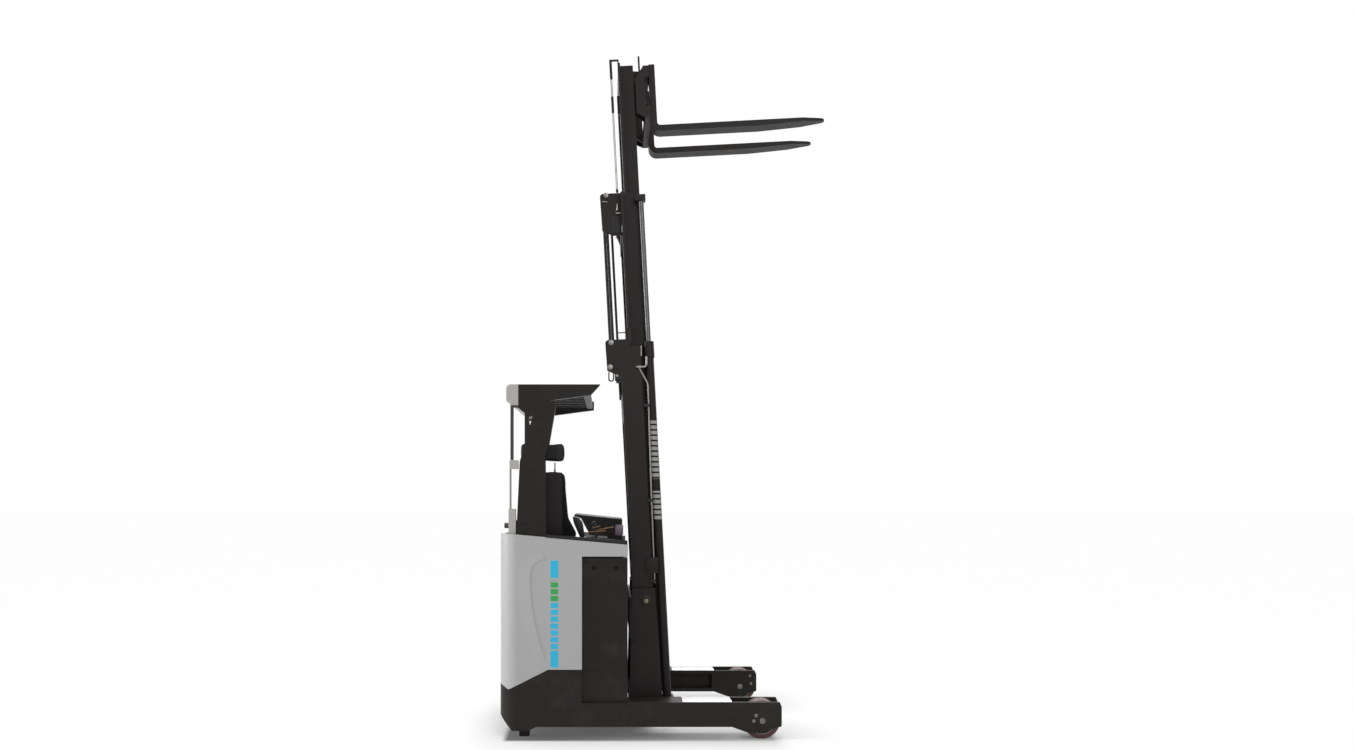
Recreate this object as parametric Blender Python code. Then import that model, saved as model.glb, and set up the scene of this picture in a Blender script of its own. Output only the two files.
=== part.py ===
"""Reach truck with a sideways seat, three-stage mast and moving mast carriage.

Units are metres. In the truck's own frame x runs forward from the rear bumper to the forks,
y runs to the left and z up from the floor. The near side of the photograph is the right side.
"""

import math

import bmesh
import bpy
from mathutils import Matrix, Vector

for old in list(bpy.data.objects):
    bpy.data.objects.remove(old, do_unlink=True)

# Clearances: SINK is how deep fused pieces reach into each other
SEAT_GAP = 0.0003
RUN_GAP = 0.007
TURN_GAP = 0.0005
BORE_GAP = 0.0006
ROD_GAP = 0.0008
FIT_GAP = 0.003
SINK = 0.001

# Widths, from the mast outwards to the load legs
OUTER_HALF = 0.420
MAST_SIDE_GAP = 0.007
REACH_PLATE_WALL = 0.016
LEG_GAP = 0.017
LEG_WIDTH = 0.175
REACH_PLATE_IN = OUTER_HALF + MAST_SIDE_GAP
LEG_INNER = REACH_PLATE_IN + REACH_PLATE_WALL + LEG_GAP
HALF_WIDTH = LEG_INNER + LEG_WIDTH
LEG_MIDDLE = HALF_WIDTH - LEG_WIDTH / 2

# Load wheels
LOAD_WHEEL_RADIUS = 0.125
LOAD_WHEEL_WIDTH = 0.105
LOAD_TYRE_WALL = 0.028
LOAD_AXLE_RADIUS = 0.020
HUB_BOSS_RADIUS = 0.048
WHEEL_SIDES = 32
WHEEL_ROOM = 0.012

# Load legs
LEG_REACH = 1.828
LOAD_WHEEL_X = LEG_REACH - LOAD_WHEEL_RADIUS
LEG_BOX_ROOM = 0.078
LEG_BOX_END = LOAD_WHEEL_X - LOAD_WHEEL_RADIUS - LEG_BOX_ROOM
LEG_TOP = 0.245
LEG_BOTTOM = 0.086
LEG_SKIRT_BOTTOM = 0.048
LEG_NOSE = 0.030
CHANNEL_DEPTH = 0.060
CHANNEL_HEIGHT = 0.108
CHANNEL_STOP = 0.012
CHANNEL_FLOOR = (LEG_BOTTOM + LEG_TOP - CHANNEL_HEIGHT) / 2

# Rear frame and battery bay
SKIRT_WALL = 0.030
SKIRT_BOTTOM = 0.060
CORNER_RADIUS = 0.12
BUMPER_TOP = 0.350
PANEL_DIP_X = 0.061
PANEL_DIP_Z = 0.325
PANEL_RISE_X = 0.319
PANEL_RISE_Z = 0.455
DECK_TOP = 0.420
DECK_WALL = 0.020
DECK_TIE_X = 0.275
BAY_START = 0.538
BATTERY_LENGTH = 0.297
BATTERY_INSET = 0.0235
BATTERY_BOTTOM = 0.241
BATTERY_TOP = 1.176
BATTERY_SPLIT = 0.450
BATTERY_LID = 0.030
BATTERY_GROOVE = 0.004
EYE_RADIUS = 0.016
EYE_INSET = 0.077
EYE_DOWN = 0.065
BULKHEAD_WALL = 0.020
FOOT_X = 0.158
FOOT_SIDE = 0.115
FOOT_SIZE = 0.065
FOOT_LIFT = 0.006
BATTERY_WIDTH = 2 * (HALF_WIDTH - BATTERY_INSET)
BAY_END = BAY_START + BATTERY_LENGTH
BULKHEAD_X = BAY_START - BULKHEAD_WALL
FOOT_Y = HALF_WIDTH - FOOT_SIDE

# Grey body panels
PANEL_WALL = 0.032
PANEL_REAR_X = 0.042
PANEL_EDGE_RUN = 0.050
PANEL_OVER_BATTERY = 0.086
PANEL_FALL = 0.068
WING_OVER_BATTERY = 0.010
ENTRY_SILL_TOP = 0.50
ENTRY_START = 0.155
PANEL_TOP_FRONT = BATTERY_TOP + PANEL_OVER_BATTERY
PANEL_TOP_REAR = PANEL_TOP_FRONT + PANEL_FALL
PANEL_WING_BOTTOM = BATTERY_TOP + WING_OVER_BATTERY
REAR_COVER_HALF = HALF_WIDTH - CORNER_RADIUS - 0.02

# Overhead guard
GUARD_TOP = 2.300
GUARD_INSET = 0.023
GUARD_BEAM_WALL = 0.055
GUARD_REAR_X = 0.125
GUARD_HEAD_X = 0.300
GUARD_FRONT_X = 0.593
GUARD_HORN_X = 0.655
GUARD_BEAM_REAR_DEPTH = 0.108
GUARD_BEAM_FRONT_DEPTH = 0.069
GUARD_BAR_COUNT = 7
GUARD_BAR_WIDTH = 0.028
GUARD_BAR_DEPTH = 0.055
GUARD_BAR_DOWN = 0.008
GUARD_CROSS_WIDTH = 0.040
PILLAR_FOOT_REAR_X = 0.112
PILLAR_FOOT_FRONT_X = 0.306
PILLAR_WAIST_X = 0.134
PILLAR_WAIST_Z = 1.800
PILLAR_NECK_X = 0.166
PILLAR_NECK_Z = 1.907
PILLAR_BEND_Z = 1.850
PILLAR_BREAST_X = 0.324
PILLAR_HEAD_FRONT_X = 0.366
NECK_SLOPE = 0.078
NECK_HOLE = ((0.190, 0.097), (0.219, 0.097), (0.197, 0.166))
REAR_POST_X = 0.074
REAR_POST_SIZE = 0.020
REAR_ROD_SIZE = 0.012
CORNER_BLOCK_X = 0.047
CORNER_BLOCK_ROUND = 0.028
CLAMP_X = 0.068
CLAMP_HIGH = 1.809
CLAMP_LOW = 1.751
LOWER_BLOCK_X = 0.062
LOWER_BLOCK_TOP = 1.493
LOWER_BLOCK_LENGTH = 0.046
KNOB_RADIUS = 0.018
KNOB_Z = 1.385
GUARD_Y = HALF_WIDTH - GUARD_INSET
GUARD_IN = GUARD_Y - GUARD_BEAM_WALL

# Seat: the driver faces left with the back to the right pillar
SEAT_SIDE_GAP = 0.018
SEAT_BACK_ROOM = 0.177
SEAT_BOX_TOP = 0.985
SEAT_BOX_WALL = 0.012
SEAT_FRAME_HEIGHT = 0.035
CUSHION_THICK = 0.110
CUSHION_DEPTH = 0.460
CUSHION_OVERHANG = 0.115
CUSHION_ROUND = 0.045
BACK_HEIGHT = 0.730
BACK_THICK = 0.085
BACK_SETBACK = 0.004
BACK_TOP_HALF = 0.156
BACK_SHOULDER_HALF = 0.182
BACK_FLARE_HALF = 0.236
BACK_SHOULDER = 0.415
BACK_FLARE = 0.312
BACK_HIP = 0.262
BACK_ROUND = 0.040
BACK_LEAN = math.radians(4.0)
STAY_WALL = 0.012
STAY_HALF = 0.13
HEADREST_RISE = 0.045
HEADREST_HEIGHT = 0.133
HEADREST_HALF = 0.150
HEADREST_THICK = 0.070
HEADREST_ROUND = 0.022
POST_X = 0.082
POST_RADIUS = 0.0055
POST_SETBACK = 0.0062
SEAT_WIDTH = BULKHEAD_X - PANEL_WALL - 2 * SEAT_SIDE_GAP
SEAT_X = (BULKHEAD_X + PANEL_WALL) / 2
CUSHION_BOTTOM = SEAT_BOX_TOP + SEAT_FRAME_HEIGHT
CUSHION_BACK_Y = SEAT_BACK_ROOM - GUARD_IN
CUSHION_FRONT_Y = CUSHION_BACK_Y + CUSHION_DEPTH
SEAT_BOX_FRONT_Y = CUSHION_FRONT_Y - CUSHION_OVERHANG
BACK_TOP = CUSHION_BOTTOM + BACK_HEIGHT
HEADREST_BOTTOM = BACK_TOP + HEADREST_RISE
HEADREST_TOP = HEADREST_BOTTOM + HEADREST_HEIGHT

# Floor plate and pedals: first x and width of each pedal
FLOOR_WALL = 0.012
FLOOR_STEP = 0.015
FLOOR_START_Y = SEAT_BOX_FRONT_Y + FLOOR_STEP
PEDAL_GAP = 0.008
PEDAL_LENGTH = 0.130
PEDALS = ((0.14, 0.06), (0.24, 0.08), (0.36, 0.06))

# Drive unit
DRIVE_WHEEL_RADIUS = 0.170
DRIVE_WHEEL_WIDTH = 0.120
DRIVE_TYRE_WALL = 0.040
DRIVE_AXLE_RADIUS = 0.030
DRIVE_SIDES = 24
TURRET_RADIUS = 0.135
TURRET_WALL = 0.030
MOTOR_RADIUS = 0.115
MOTOR_FLANGE = 0.028
MOTOR_GAP = 0.010
MOTOR_DOWN = 0.125
DRIVE_SETBACK = 0.208
DRIVE_X = BAY_START - DRIVE_SETBACK
DRIVE_Y = SEAT_BOX_FRONT_Y - SEAT_BOX_WALL - MOTOR_RADIUS - MOTOR_FLANGE - MOTOR_GAP
TURRET_TOP = DECK_TOP - DECK_WALL - TURN_GAP
MOTOR_TOP = SEAT_BOX_TOP - MOTOR_DOWN

# Console and controls
CONSOLE_DEPTH = 0.069
CONSOLE_SETBACK = 0.029
CONSOLE_FALL = 0.020
HOOD_RISE = 0.195
HOOD_FALL = 0.035
HOOD_WALL = 0.022
HOOD_START = 0.460
HOOD_SIDE = 0.100
HOOD_CHEEK = 0.020
LEVER_BLOCK = (0.560, 0.700)
LEVER_BLOCK_Y = (-0.30, -0.06)
LEVER_BLOCK_RISE = 0.050
LEVER_HEIGHT = 0.150
LEVER_YS = (-0.27, -0.21, -0.15, -0.09)
POD_TOP = 1.170
POD_FRONT_X = 0.215
POD_WIDTH = 0.200
POD_GAP = 0.012
WHEEL_X = 0.150
WHEEL_RISE = 0.075
WHEEL_RIM = 0.093
CONSOLE_HALF = HALF_WIDTH - PANEL_WALL - SEAT_GAP
CONSOLE_END = BAY_END - CONSOLE_SETBACK
CONSOLE_BASE_TOP = BATTERY_TOP + CONSOLE_DEPTH
HOOD_TOP_REAR = CONSOLE_BASE_TOP + HOOD_RISE
HOOD_TOP_FRONT = HOOD_TOP_REAR - HOOD_FALL
POD_START_Y = CUSHION_FRONT_Y + POD_GAP
WHEEL_Z = POD_TOP + WHEEL_RISE

# Mast: places along the mast are heights above the tilt pivot, square to it they run forward.
# Each stage is drawn fully lowered, and its frame then lifts it to its height in the photograph.
REACH_GAP = 0.013
PIVOT_SETBACK = 0.111
PIVOT_X = BAY_END + REACH_GAP + PIVOT_SETBACK
PIVOT_Z = 0.878
MAST_LEAN = math.radians(3.0)
PIVOT_RADIUS = 0.030
RAIL_WEB = 0.014
RAIL_FLANGE = 0.016
CROSS_WALL = 0.012
MAST_FOOT = -0.643
FOOT_PLATE = 0.018
FOOT_PLATE_WIDTH = 0.100
OUTER_REAR = -0.084
OUTER_DEPTH = 0.135
OUTER_FLANGE = 0.050
OUTER_TOP = 1.700
MID_RISE = 0.940
MID_REAR = -0.028
MID_DEPTH = 0.118
MID_LENGTH = 2.445
MID_FLANGE = 0.050
INNER_RISE = 0.940
INNER_REAR = 0.001
INNER_DEPTH = 0.104
INNER_LENGTH = 2.398
INNER_FLANGE = 0.050
CARRIAGE_STOP = 0.045
STAGE_ROLLER_UP = 0.060
STAGE_LIFT = 0.006
PLATE_HEIGHT = 0.150
MID_HALF = OUTER_HALF - RAIL_WEB - OUTER_FLANGE - RUN_GAP
MID_OUT = OUTER_HALF - RAIL_WEB - RUN_GAP - MID_HALF
INNER_HALF = MID_HALF - RAIL_WEB - MID_FLANGE - RUN_GAP
INNER_OUT = MID_HALF - RAIL_WEB - RUN_GAP - INNER_HALF
INNER_TIP = INNER_HALF - RAIL_WEB - INNER_FLANGE
MID_TOP = MAST_FOOT + MID_LENGTH
INNER_TOP = MAST_FOOT + INNER_LENGTH
MID_PLATE_TOP = MID_TOP - 0.140

# Lift cylinders before the outer rails
LIFT_RADIUS = 0.030
LIFT_ROD_RADIUS = 0.0175
LIFT_X = 0.108
LIFT_INSET = 0.035
LIFT_Y = OUTER_HALF - LIFT_INSET
LIFT_TOP = 1.730
GLAND_LENGTH = 0.110
GLAND_RADIUS = 0.036
LIFT_ROD_TOP = 1.775
LIFT_ROD_LENGTH = 1.760
ROD_CLAMP_HEIGHT = 0.040
ROD_CLAMP_WALL = 0.012

# Free lift cylinder inside the inner stage, and the chains
FREE_RADIUS = 0.042
FREE_ROD_RADIUS = 0.024
FREE_ROD_STAY = 0.086
HEAD_HEIGHT = 0.050
HEAD_DEPTH = 0.030
FREE_PULLEY_RADIUS = 0.036
CHAIN_WIDTH = 0.028
CHAIN_THICK = 0.012
CHAIN_TIP_GAP = 0.049
CARRIAGE_CHAIN_Y = 0.095
HEAD_HALF = CARRIAGE_CHAIN_Y + 0.030
CHAIN_Y = INNER_TIP - CHAIN_TIP_GAP
FREE_X = INNER_REAR + CROSS_WALL + SINK + SEAT_GAP + FREE_RADIUS
CHAIN_X = MID_REAR - CROSS_WALL * 2 - 0.0005
CHAIN_PULLEY_RADIUS = INNER_REAR - 0.006 - CHAIN_X
CHAIN_PULLEY_LEVEL = MID_TOP - 0.100
CHAIN_REAR_END = OUTER_TOP - 0.300 - MID_RISE
CHAIN_FRONT_END = MAST_FOOT + 0.130 + INNER_RISE

# Hose guides behind the right rails, and the hoses over the middle stage's drum
GUIDE_WALL = 0.008
OUTER_DRUM_RADIUS = 0.042
OUTER_DRUM_LENGTH = 0.048
DRUM_RADIUS = 0.036
DRUM_SETBACK = 0.053
DRUM_DOWN = 0.075
HOSE_RADIUS = 0.0095
HOSE_PITCH = 0.0195
HOSE_PLAY = 0.0015
HOSE_TIP_GAP = 0.015
HOSE_Y = HOSE_TIP_GAP - (MID_HALF - RAIL_WEB - MID_FLANGE)
HOSE_END = 0.620
HOSE_CLAMP = 0.030

# Forks and their carriage
FORK_FACE_X = 0.252
FORK_THICK = 0.040
FORK_WIDTH = 0.120
FORK_LENGTH = 1.150
FORK_TIP_THICK = 0.012
FORK_TAPER = 0.450
FORK_TOP_DOWN = -0.788
FORK_SHANK = 0.415
FORK_HEEL = 0.060
FORK_INSET = 0.020
CARRIAGE_SIDE_GAP = 0.049
CARRIAGE_HALF = LIFT_Y - GLAND_RADIUS - CARRIAGE_SIDE_GAP
FORK_SPREAD = 2 * (CARRIAGE_HALF - FORK_WIDTH / 2 - FORK_INSET)
CARRIAGE_WALL = 0.014
CARRIAGE_ROLLER_RADIUS = 0.033
CARRIAGE_ROLLER_LOW = 0.190
CARRIAGE_ROLLER_HIGH = 0.370
FORK_BAR_HEIGHT = 0.075
FORK_BAR_THICK = 0.040
FORK_BAR_LOW = 0.050
FORK_BAR_HIGH = 0.325
HOOK_X = 0.140
HOOK_TOP = 0.465
CARRIAGE_RISE = INNER_TOP - CARRIAGE_STOP - FORK_TOP_DOWN - CARRIAGE_ROLLER_HIGH
FREE_LENGTH = CARRIAGE_RISE / 2 + FREE_ROD_STAY

# Mast carriage that reaches forward between the legs
REACH_PLATE_TOP = PIVOT_Z + 0.082
REACH_ROLLER_RADIUS = 0.050
REACH_PIN_RADIUS = 0.018
REACH_ROLLER_FRONT = PIVOT_X - 0.014
REACH_WHEELBASE = 0.265
REACH_ROLLER_REAR = REACH_ROLLER_FRONT - REACH_WHEELBASE
REACH_ARM_TOP = 0.205
REACH_REAR_FOOT = BAY_END + REACH_GAP
REACH_REAR_TOP = REACH_REAR_FOOT + 0.018
REACH_FRONT_TOP = PIVOT_X + 0.060
REACH_FRONT_FOOT = PIVOT_X + 0.109
REACH_KNEE_Z = 0.235
REACH_BEAM_TOP = 0.200
REACH_BEAM_BOTTOM = 0.105
REACH_BEAM_DEPTH = 0.040
REACH_SHELF = 0.010
REACH_CYL_RADIUS = 0.032
REACH_ROD_RADIUS = 0.018
REACH_CYL_Y = 0.200
REACH_CYL_Z = 0.150
REACH_CYL_START = 0.225
REACH_CYL_WALL = 0.020
CHANNEL_START = REACH_ROLLER_REAR - REACH_ROLLER_RADIUS - 0.030

# Tilt cylinders under the mast foot
TILT_EYE_X = PIVOT_X - 0.047
TILT_PIN_X = PIVOT_X + 0.166
TILT_Z = 0.155
TILT_Y = OUTER_HALF - 0.068
TILT_RADIUS = 0.025
TILT_ROD_RADIUS = 0.013
TILT_BARREL_LENGTH = 0.118
TILT_SHAFT_RADIUS = 0.012
TILT_EYE_RADIUS = 0.020
TILT_EYE_HALF = 0.016
TILT_DRIFT = 0.0015
LUG_WALL = 0.014
LUG_GAP = 0.005
LUG_HALF = 0.020
TILT_PIN_LX = (TILT_PIN_X - PIVOT_X) * math.cos(MAST_LEAN) + (TILT_Z - PIVOT_Z) * math.sin(MAST_LEAN)
TILT_PIN_LZ = (PIVOT_X - TILT_PIN_X) * math.sin(MAST_LEAN) + (TILT_Z - PIVOT_Z) * math.cos(MAST_LEAN)

# The overall length ends at the fork tips
TOTAL_RISE = MID_RISE + INNER_RISE + CARRIAGE_RISE
LENGTH = (PIVOT_X + (FORK_FACE_X + FORK_LENGTH) * math.cos(MAST_LEAN)
          - (TOTAL_RISE + FORK_TOP_DOWN - FORK_THICK / 2) * math.sin(MAST_LEAN))

SIDES = (("left", 1.0), ("right", -1.0))

PAINT = {
    "black": ((0.022, 0.021, 0.020), 0.45, 0.0),
    "grey": ((0.42, 0.42, 0.42), 0.35, 0.0),
    "battery": ((0.020, 0.019, 0.018), 0.60, 0.0),
    "tyre": ((0.17, 0.035, 0.018), 0.60, 0.0),
    "rubber": ((0.015, 0.015, 0.015), 0.80, 0.0),
    "steel": ((0.45, 0.45, 0.46), 0.35, 1.0),
    "chrome": ((0.75, 0.75, 0.76), 0.12, 1.0),
    "plastic": ((0.018, 0.018, 0.018), 0.55, 0.0),
    "fabric": ((0.012, 0.012, 0.013), 0.90, 0.0),
}


def paint(obj, name):
    """Give the object its own material of a named finish."""
    colour, roughness, metallic = PAINT[name]
    material = bpy.data.materials.new(obj.name + "_" + name)
    material.use_nodes = True
    shader = material.node_tree.nodes["Principled BSDF"]
    shader.inputs["Base Color"].default_value = (*colour, 1.0)
    shader.inputs["Roughness"].default_value = roughness
    shader.inputs["Metallic"].default_value = metallic
    obj.data.materials.clear()
    obj.data.materials.append(material)
    return obj


def empty(name, parent, location, lean=0.0):
    """Add a frame that carries moving pieces, turned about its own Y axis."""
    frame = bpy.data.objects.new(name, None)
    bpy.context.collection.objects.link(frame)
    frame.parent = parent
    frame.location = location
    frame.rotation_euler = (0.0, lean, 0.0)
    return frame


def mesh_object(name, bm):
    """Turn a bmesh into an object with faces pointing outwards."""
    bmesh.ops.recalc_face_normals(bm, faces=bm.faces)
    mesh = bpy.data.meshes.new(name)
    bm.to_mesh(mesh)
    bm.free()
    obj = bpy.data.objects.new(name, mesh)
    bpy.context.collection.objects.link(obj)
    return obj


def prism(points, axis, low, high, name="solid"):
    """Extrude a closed outline along an axis. Outlines are (x, z) for Y, (x, y) for Z, (y, z) for X."""
    def place(point, along):
        if axis == "Y":
            return (point[0], along, point[1])
        if axis == "Z":
            return (point[0], point[1], along)
        return (along, point[0], point[1])

    bm = bmesh.new()
    face = bm.faces.new([bm.verts.new(place(point, low)) for point in points])
    copy = bmesh.ops.extrude_face_region(bm, geom=[face])
    moved = [item for item in copy["geom"] if isinstance(item, bmesh.types.BMVert)]
    shift = Vector(place((0.0, 0.0), high - low))
    bmesh.ops.translate(bm, verts=moved, vec=shift)
    return mesh_object(name, bm)


def box(x, y, z, name="solid"):
    """Make a block from its (low, high) pairs along the three axes."""
    return prism([(x[0], z[0]), (x[1], z[0]), (x[1], z[1]), (x[0], z[1])], "Y", y[0], y[1], name)


def arc(centre, radius, start, end, steps):
    """Points of an arc in a plane, angles in degrees."""
    points = []
    for step in range(steps + 1):
        angle = math.radians(start + (end - start) * step / steps)
        points.append((centre[0] + radius * math.cos(angle), centre[1] + radius * math.sin(angle)))
    return points


def round_box(x, z, radius, steps=4):
    """Outline of a rectangle with round corners from its (low, high) pairs."""
    corners = ((x[1], z[1], 0.0), (x[0], z[1], 90.0), (x[0], z[0], 180.0), (x[1], z[0], 270.0))
    points = []
    for corner_x, corner_z, angle in corners:
        centre = (corner_x - math.copysign(radius, corner_x - (x[0] + x[1]) / 2),
                  corner_z - math.copysign(radius, corner_z - (z[0] + z[1]) / 2))
        points += arc(centre, radius, angle, angle + 90.0, steps)
    return points


def tube(path, y, radius, sides=8, name="solid"):
    """Sweep a round bar along a path of (x, z) points at one y."""
    bm = bmesh.new()
    rings = []
    for i, (x, z) in enumerate(path):
        before = path[max(i - 1, 0)]
        after = path[min(i + 1, len(path) - 1)]
        run = Vector((after[0] - before[0], after[1] - before[1])).normalized()
        ring = []
        for step in range(sides):
            angle = 2.0 * math.pi * step / sides
            out = radius * math.cos(angle)
            ring.append(bm.verts.new((x - run.y * out, y + radius * math.sin(angle), z + run.x * out)))
        rings.append(ring)
    for first, second in zip(rings, rings[1:]):
        for step in range(sides):
            following = (step + 1) % sides
            bm.faces.new((first[step], first[following], second[following], second[step]))
    bm.faces.new(rings[0])
    bm.faces.new(rings[-1])
    return mesh_object(name, bm)


def cylinder(start, end, radius, sides=20, name="solid"):
    """Make a round bar between two points."""
    start = Vector(start)
    end = Vector(end)
    along = end - start
    bm = bmesh.new()
    bmesh.ops.create_cone(bm, cap_ends=True, segments=sides, radius1=radius, radius2=radius,
                          depth=along.length)
    turn = Vector((0.0, 0.0, 1.0)).rotation_difference(along.normalized()).to_matrix().to_4x4()
    bmesh.ops.transform(bm, matrix=Matrix.Translation((start + end) / 2) @ turn, verts=bm.verts)
    return mesh_object(name, bm)


def turned(profile, sides, name="solid"):
    """Spin a closed (radius, y) outline about the Y axis."""
    bm = bmesh.new()
    rings = []
    for step in range(sides):
        angle = 2.0 * math.pi * step / sides
        rings.append([bm.verts.new((r * math.sin(angle), y, r * math.cos(angle))) for r, y in profile])
    count = len(profile)
    for step in range(sides):
        ring = rings[step]
        following = rings[(step + 1) % sides]
        for i in range(count):
            j = (i + 1) % count
            bm.faces.new((ring[i], ring[j], following[j], following[i]))
    return mesh_object(name, bm)


def boolean(target, tools, operation):
    """Apply one Boolean per tool, then drop the tools."""
    for tool in tools:
        change = target.modifiers.new("shape", "BOOLEAN")
        change.operation = operation
        change.solver = "EXACT"
        change.object = tool
        bpy.context.view_layer.update()
        graph = bpy.context.evaluated_depsgraph_get()
        made = bpy.data.meshes.new_from_object(target.evaluated_get(graph))
        target.modifiers.clear()
        old = target.data
        target.data = made
        bpy.data.meshes.remove(old)
        bpy.data.objects.remove(tool, do_unlink=True)
    return target


def fuse(name, pieces):
    """Join overlapping solids to one body."""
    target = boolean(pieces[0], pieces[1:], "UNION")
    target.name = name
    target.data.name = name
    return target


def cut(target, tools):
    """Take the tools' shapes out of the target."""
    return boolean(target, tools, "DIFFERENCE")


def common(target, tools):
    """Keep what the target shares with the tools."""
    return boolean(target, tools, "INTERSECT")


def finish(obj, name, parent, colour, location=(0.0, 0.0, 0.0)):
    """Name, place and paint a piece."""
    obj.name = name
    obj.data.name = name
    obj.parent = parent
    obj.location = location
    return paint(obj, colour)


def smooth(obj, angle=35.0):
    """Shade round faces smooth and keep sharp edges."""
    obj.data.shade_smooth()
    obj.data.set_sharp_from_angle(angle=math.radians(angle))
    return obj


# Frames that carry the bodies
truck = empty("truck", None, (-LENGTH / 2, 0.0, 0.0))
steer_axis = empty("steer_axis", truck, (DRIVE_X, DRIVE_Y, 0.0))
drive_axle = empty("drive_axle", steer_axis, (0.0, 0.0, DRIVE_WHEEL_RADIUS))
reach = empty("reach", truck, (0.0, 0.0, 0.0))
mast = empty("mast", reach, (PIVOT_X, 0.0, PIVOT_Z), -MAST_LEAN)
mid_stage = empty("mid_stage", mast, (0.0, 0.0, MID_RISE))
inner_stage = empty("inner_stage", mid_stage, (0.0, 0.0, INNER_RISE))
lift_head = empty("lift_head", inner_stage, (0.0, 0.0, CARRIAGE_RISE / 2))
carriage_stage = empty("carriage_stage", inner_stage, (0.0, 0.0, CARRIAGE_RISE))
tilt_eye = empty("tilt_eye", reach, (TILT_EYE_X, 0.0, TILT_Z))


def rear_plan(inset, front):
    """Plan of the rear end: round rear corners, straight sides up to a front line."""
    half = HALF_WIDTH - inset
    radius = CORNER_RADIUS - inset
    rear = inset
    left = arc((rear + radius, half - radius), radius, 180.0, 90.0, 8)
    right = arc((rear + radius, -half + radius), radius, 270.0, 180.0, 8)
    return [(front, -half)] + right + left + [(front, half)]


def skirt_top(extra=0.0):
    """Upper edge of the black skirt as (x, z), from the rear forwards."""
    return [(-0.01, BUMPER_TOP + extra), (PANEL_DIP_X - 0.045, BUMPER_TOP + extra),
            (PANEL_DIP_X, PANEL_DIP_Z + extra), (PANEL_RISE_X, PANEL_RISE_Z + extra),
            (BAY_START, PANEL_RISE_Z + extra)]


def panel_top(x):
    """Height of the grey panels' upper edge."""
    start = PANEL_REAR_X + PANEL_EDGE_RUN
    share = max(0.0, (x - start) / (BAY_END - start))
    return PANEL_TOP_REAR + (PANEL_TOP_FRONT - PANEL_TOP_REAR) * share


def console_top(x):
    """Height of the console's sloping shelf."""
    return CONSOLE_BASE_TOP + CONSOLE_FALL * (CONSOLE_END - x) / (CONSOLE_END - BULKHEAD_X)


def bay(inset, front, sides, low, high):
    """Block that fills the rear end's plan between two y values, set in from the outside."""
    block = prism(rear_plan(inset, front), "Z", low, high)
    return common(block, [box((-0.1, front + 0.1), sides, (low - 0.1, high + 0.1))])


def roller_channel(sign):
    """Space for the mast carriage's rollers along one leg's inner side."""
    sides = sorted((sign * (LEG_INNER - 0.01), sign * (LEG_INNER + CHANNEL_DEPTH)))
    levels = (CHANNEL_FLOOR, CHANNEL_FLOOR + CHANNEL_HEIGHT)
    return box((CHANNEL_START, LEG_BOX_END - CHANNEL_STOP), sides, levels)


def chassis():
    """Rear frame: skirt, deck, battery platform and bulkhead, with two stabiliser feet."""
    side = [(-0.01, 0.165), (0.085, SKIRT_BOTTOM), (0.19, SKIRT_BOTTOM), (0.24, LEG_BOTTOM),
            (BAY_END, LEG_BOTTOM), (BAY_END, BATTERY_BOTTOM), (BAY_START, BATTERY_BOTTOM)]
    side += reversed(skirt_top())
    body = prism(side, "Y", -HALF_WIDTH - 0.01, HALF_WIDTH + 0.01)
    body = common(body, [prism(rear_plan(0.0, BAY_END), "Z", 0.0, BATTERY_TOP)])
    inner = HALF_WIDTH - SKIRT_WALL
    deck_bottom = DECK_TOP - DECK_WALL
    well = prism(rear_plan(SKIRT_WALL, BULKHEAD_X), "Z", 0.0, BATTERY_TOP + 0.1)
    under = box((BAY_START, BAY_END + 0.1), (-LEG_INNER, LEG_INNER), (0.0, BATTERY_BOTTOM - DECK_WALL))
    body = cut(body, [well, under] + [roller_channel(sign) for _, sign in SIDES])
    deck = prism(rear_plan(PANEL_WALL + SEAT_GAP, BULKHEAD_X + SINK), "Z", deck_bottom, DECK_TOP)
    ties = box((DECK_TIE_X, BULKHEAD_X + SINK), (-inner - 0.005, inner + 0.005), (deck_bottom, DECK_TOP))
    panel_in = HALF_WIDTH - PANEL_WALL - SEAT_GAP
    bulkhead = box((BULKHEAD_X, BAY_START - SEAT_GAP), (-panel_in, panel_in), (deck_bottom - 0.01, BATTERY_TOP))
    feet = []
    for _, sign in SIDES:
        y = sign * FOOT_Y
        foot = FOOT_SIZE / 2
        feet.append(box((FOOT_X - foot, FOOT_X + foot), (y - foot, y + foot), (FOOT_LIFT, deck_bottom + 0.005)))
    body = fuse("chassis_frame", [body, deck, ties, bulkhead] + feet)
    hole = cylinder((DRIVE_X, DRIVE_Y, deck_bottom - 0.1), (DRIVE_X, DRIVE_Y, DECK_TOP + 0.1),
                    MOTOR_RADIUS + SEAT_GAP, DRIVE_SIDES)
    passage = cylinder((BULKHEAD_X - 0.05, REACH_CYL_Y, REACH_CYL_Z),
                       (BAY_END + 0.05, REACH_CYL_Y, REACH_CYL_Z), REACH_CYL_RADIUS + SEAT_GAP)
    finish(cut(body, [hole, passage]), "chassis_frame", truck, "black")


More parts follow.
